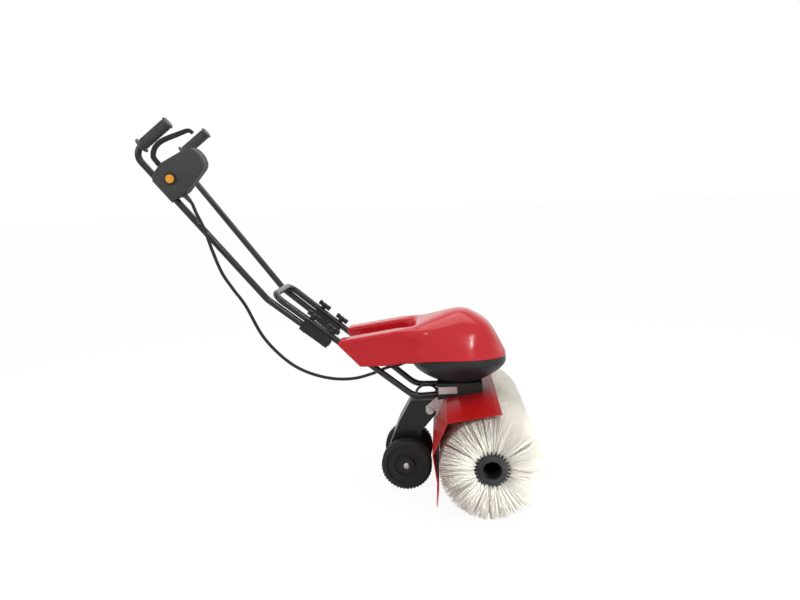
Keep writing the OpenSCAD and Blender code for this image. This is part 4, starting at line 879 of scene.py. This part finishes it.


# Brush: two plastic cores pinned to the drive shaft, each stuck with rings of cream nylon tufts.
# A tuft is pinched at its root and fans out to the tips; black fins between the roots are painted
# shade, standing in for the shade between the tufts along with the dark core seen there.
AXIS_Z = 0.136
CORE_R = 0.039
TUFTS_AROUND = 28
TUFT_ROWS = 9
TUFT_SEED = 7
TUFT_FAN = 0.125
FILAMENTS = 40
FIRST_ROW = 0.046
ROW_PITCH = 0.0302
ROW_STAGGER = 0.5
ROOT_TURN = 0.070
ROOT_SHIFT = 0.004
STRAY = 0.30
STRAND_ROLL = 3.14
STRAND_TILT = -0.07
STRAND_SIDES = 3
FILAMENT_LEN = 0.0966
LENGTH_SHARE = 0.972
LENGTH_SPREAD = 0.025
SHADE_FIN_R = CORE_R + 0.0020
strand_rings = [(0.0, 0.0011, 0.0), (0.55, 0.0010, 0.0012), (1.0, 0.0008, 0.0)]
core_ring = [(0.0235, 0.166), (0.0235, 0.2986), (0.0245, 0.3000), (0.0375, 0.3000),
             (0.0388, 0.2992), (0.0390, 0.2975), (0.0390, 0.0388), (0.0382, 0.0380),
             (0.0102, 0.0380), (0.0102, 0.1605), (0.0235, 0.166)]


def tuft_tree():
    # Filaments in tufts round the Z axis: each leans by chance inside its tuft's fan.
    tree, given = tree_with("tuft_rings", (
        ("Filament", "Object"), ("Around", "Int"), ("Rows", "Int"), ("Per Tuft", "Int"),
        ("Radius", "Float"), ("Start", "Float"), ("Pitch", "Float"), ("Fan", "Float"),
        ("Seed", "Int"), ("Finish", "Material")))
    calc = calculator(tree)

    def chance(shift):
        # From -1 to 1 for each filament; the sockets for plain numbers go by number.
        drawn = new_node(tree, "FunctionNodeRandomValue", {
            2: -1.0, 3: 1.0, "Seed": calc("ADD", given["Seed"], shift)}, data_type="FLOAT")
        return drawn.outputs[1]

    tufts = calc("MULTIPLY", given["Around"], given["Rows"])
    count = calc("MULTIPLY", tufts, given["Per Tuft"])
    index = new_node(tree, "GeometryNodeInputIndex").outputs[0]
    tuft = calc("FLOOR", calc("DIVIDE", index, given["Per Tuft"]))
    ring = calc("FLOOR", calc("DIVIDE", tuft, given["Around"]))
    step = calc("ADD", calc("MODULO", tuft, given["Around"]), calc("MULTIPLY", ring, ROW_STAGGER))
    turn = calc("MULTIPLY", calc("DIVIDE", step, given["Around"]), 2 * math.pi)
    aside, along, extra, length = chance(0), chance(1), chance(2), chance(3)
    root_turn = calc("ADD", turn, calc("MULTIPLY", aside, ROOT_TURN))
    height = calc("ADD", calc("MULTIPLY", ring, given["Pitch"]), given["Start"])
    spot = combined(
        tree, calc("MULTIPLY", calc("COSINE", root_turn), given["Radius"]),
        calc("MULTIPLY", calc("SINE", root_turn), given["Radius"]),
        calc("ADD", height, calc("MULTIPLY", along, ROOT_SHIFT)))
    lean = calc("MULTIPLY", calc("ADD", aside, calc("MULTIPLY", extra, STRAY)), given["Fan"])
    facing = combined(
        tree, calc("MULTIPLY", extra, STRAND_ROLL), calc("MULTIPLY", along, STRAND_TILT),
        calc("ADD", root_turn, lean))
    scale = combined(
        tree, calc("ADD", calc("MULTIPLY", length, LENGTH_SPREAD), LENGTH_SHARE), 1.0, 1.0)
    set_copies(tree, given, given["Filament"], count, spot, facing, scale)
    return tree


strand_points, strand_faces = [], []
for x, r, sag in strand_rings:
    strand_points += [(x * FILAMENT_LEN, r * c + sag, r * s) for c, s in circle(STRAND_SIDES)]
for ring in (0, STRAND_SIDES):
    for k in range(STRAND_SIDES):
        n = (k + 1) % STRAND_SIDES
        strand_faces.append((ring + k, ring + STRAND_SIDES + k, ring + STRAND_SIDES + n, ring + n))
strand_faces += [(0, 1, 2), (8, 7, 6)]
strand_mesh = bpy.data.meshes.new("filament")
strand_mesh.from_pydata(strand_points, [], strand_faces)
strand_mesh.shade_smooth()
filament = bpy.data.objects.new("filament", strand_mesh)
nylon = finish("cream_nylon", (0.88, 0.83, 0.74), (0.97, 0.94, 0.87),
               rough=(0.38, 0.55), grain=500, bump=0.1, blotch=240)
tuft_rings = tuft_tree()
# Black fins on the core between the tuft roots: painted shade for the dark gaps between the tufts,
# partly the dark core itself.
core_shade_fin = stud_template("pocket_wall", deep=0.0055, wide=0.0022, tall=0.0150, slope=0.0008)
middle = Vector((BRUSH_X, 0, AXIS_Z))
half_step = Matrix.Rotation(math.pi / TUFTS_AROUND, 4, "Z")
for side, core_node, hair_node, name in ((-1, "right_brush_core", "right_bristles", "right"),
                                         (1, "left_brush_core", "left_bristles", "left")):
    axis = Vector((0, side, 0))
    hair = grown(name + "_tufts", tuft_rings, {
        "Filament": filament, "Around": TUFTS_AROUND, "Rows": TUFT_ROWS, "Per Tuft": FILAMENTS,
        "Radius": CORE_R, "Start": FIRST_ROW, "Pitch": ROW_PITCH, "Fan": TUFT_FAN,
        "Seed": TUFT_SEED + side, "Finish": nylon}, stand(middle, axis))
    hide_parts(hair_node)
    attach(hair, "brush")
    hub = tidy(piece(name + "_core_body", *lathe(core_ring, middle, axis, sides=72),
                     moulded_black))
    # The black fins set between the tuft roots are painted shade between the tufts, along with the
    # real dark core.
    shade_fins_on_core = grown(name + "_pockets", ring_rows, {
        "Stud": core_shade_fin, "Around": TUFTS_AROUND, "Rows": TUFT_ROWS, "Radius": SHADE_FIN_R,
        "Start": FIRST_ROW, "Pitch": ROW_PITCH, "Stagger": ROW_STAGGER,
        "Finish": moulded_black}, stand(middle, axis) @ half_step)
    core = sharpen(joined(name + "_core", [hub, shade_fins_on_core]), 40)
    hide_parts(core_node)
    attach(core, "brush")


# Hood: one sheet of steel folded over the brush and painted a deeper red than the cover.
# Black bolts hold it under the base block.
hood_red = finish("hood_red", (0.40, 0.005, 0.006), (0.47, 0.007, 0.008),
                  rough=(0.28, 0.31), grain=210, bump=0.03, shine=0.2, blotch=7)
paint(hood_red, "brush_hood")
paint(moulded_black, "hood_bolts")


# Wheel arm: folded steel channel, painted black, on a pivot bolt between zinc tabs behind the hood.
# A bent rod that sets its height stands on its top with both feet.
BOW_R = 0.0038
BOW_SIDES = 14
BOW_STEPS = 5
bow_bends = [
    (0.191, 0.245), (0.187, 0.258), (0.193, 0.271), (0.206, 0.280), (0.222, 0.282),
    (0.238, 0.277), (0.247, 0.267), (0.243, 0.256), (0.230, 0.245)]
satin_black = finish("satin_black", (0.012, 0.012, 0.013), (0.020, 0.020, 0.021),
                     rough=(0.30, 0.44), grain=330, bump=0.18, coat=0.2)
paint(satin_black, "wheel_arm")
bow_run = smooth_line([Vector((x, 0, z)) for x, z in bow_bends], BOW_STEPS)
bow_slopes = [after - before for before, after
              in zip(bow_run[:1] + bow_run[:-1], bow_run[1:] + bow_run[-1:])]
bow = tidy(piece("height_bow", *tube(bow_run, bow_slopes, BOW_R, BOW_SIDES), gloss_black))
sharpen(bow, 60)
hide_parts("adjuster_bow")
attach(bow, "arm")
paint(zinc, "pivot_tabs", "pivot_bolt")
paint(bare_metal, "wheel_axle")


# Wheels: black moulded wheels with stepped faces and two staggered rows of tread blocks.
# They turn on a steel axle and are held by domed caps pressed on its ends.
AXLE = Vector((0.156, 0.0, 0.072))
TREAD_AROUND = 44
TREAD_ROWS = 2
TREAD_R = 0.0696
TREAD_START = 0.0660
TREAD_PITCH = 0.0160
TREAD_STAGGER = 0.5
wheel_black = finish("wheel_black", (0.014, 0.014, 0.015), (0.024, 0.024, 0.025),
                     rough=(0.42, 0.60), grain=800, bump=0.35)
tread_stud = stud_template("tread_block", deep=0.0024, wide=0.0068, tall=0.0150, slope=0.0009)
wheel_face = [(0.0061, 0.0410), (0.0142, 0.0410), (0.0150, 0.0418), (0.0150, 0.0560),
              (0.0640, 0.0560), (0.0675, 0.0572), (0.0695, 0.0600), (0.0695, 0.0880),
              (0.0676, 0.0906), (0.0640, 0.0920), (0.0578, 0.0920), (0.0562, 0.0912),
              (0.0555, 0.0880), (0.0545, 0.0870), (0.0352, 0.0870), (0.0342, 0.0862),
              (0.0336, 0.0838), (0.0326, 0.0830), (0.0232, 0.0830), (0.0222, 0.0838),
              (0.0218, 0.0908), (0.0206, 0.0920), (0.0061, 0.0920), (0.0061, 0.0410)]
dome = [(0.0, 0.0985), (0.0040, 0.0983), (0.0074, 0.0974), (0.0091, 0.0958), (0.0095, 0.0940),
        (0.0095, 0.0925), (0.0061, 0.0925), (0.0061, 0.0962), (0.0, 0.0962)]
domes = []
for side, node, body, name in ((-1, "right_wheel", "wheel_right", "right"),
                               (1, "left_wheel", "wheel_left", "left")):
    axis = Vector((0, side, 0))
    disc = tidy(piece(name + "_disc", *lathe(wheel_face, AXLE, axis, sides=88), wheel_black))
    tread = grown(name + "_tread", ring_rows, {
        "Stud": tread_stud, "Around": TREAD_AROUND, "Rows": TREAD_ROWS, "Radius": TREAD_R,
        "Start": TREAD_START, "Pitch": TREAD_PITCH, "Stagger": TREAD_STAGGER,
        "Finish": wheel_black}, stand(AXLE, axis))
    wheel = sharpen(joined(name + "_road_wheel", [disc, tread]))
    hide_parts(node)
    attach(wheel, body)
    domes.append(tidy(piece(name + "_dome", *lathe(dome, AXLE, axis, sides=40), zinc)))
caps = sharpen(joined("axle_domes", domes), 40)
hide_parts("axle_caps")
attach(caps, "arm")


# End: the templates of the repeats are taken away.
for template in (rib_stud, core_shade_fin, tread_stud, filament):
    bpy.data.objects.remove(template)
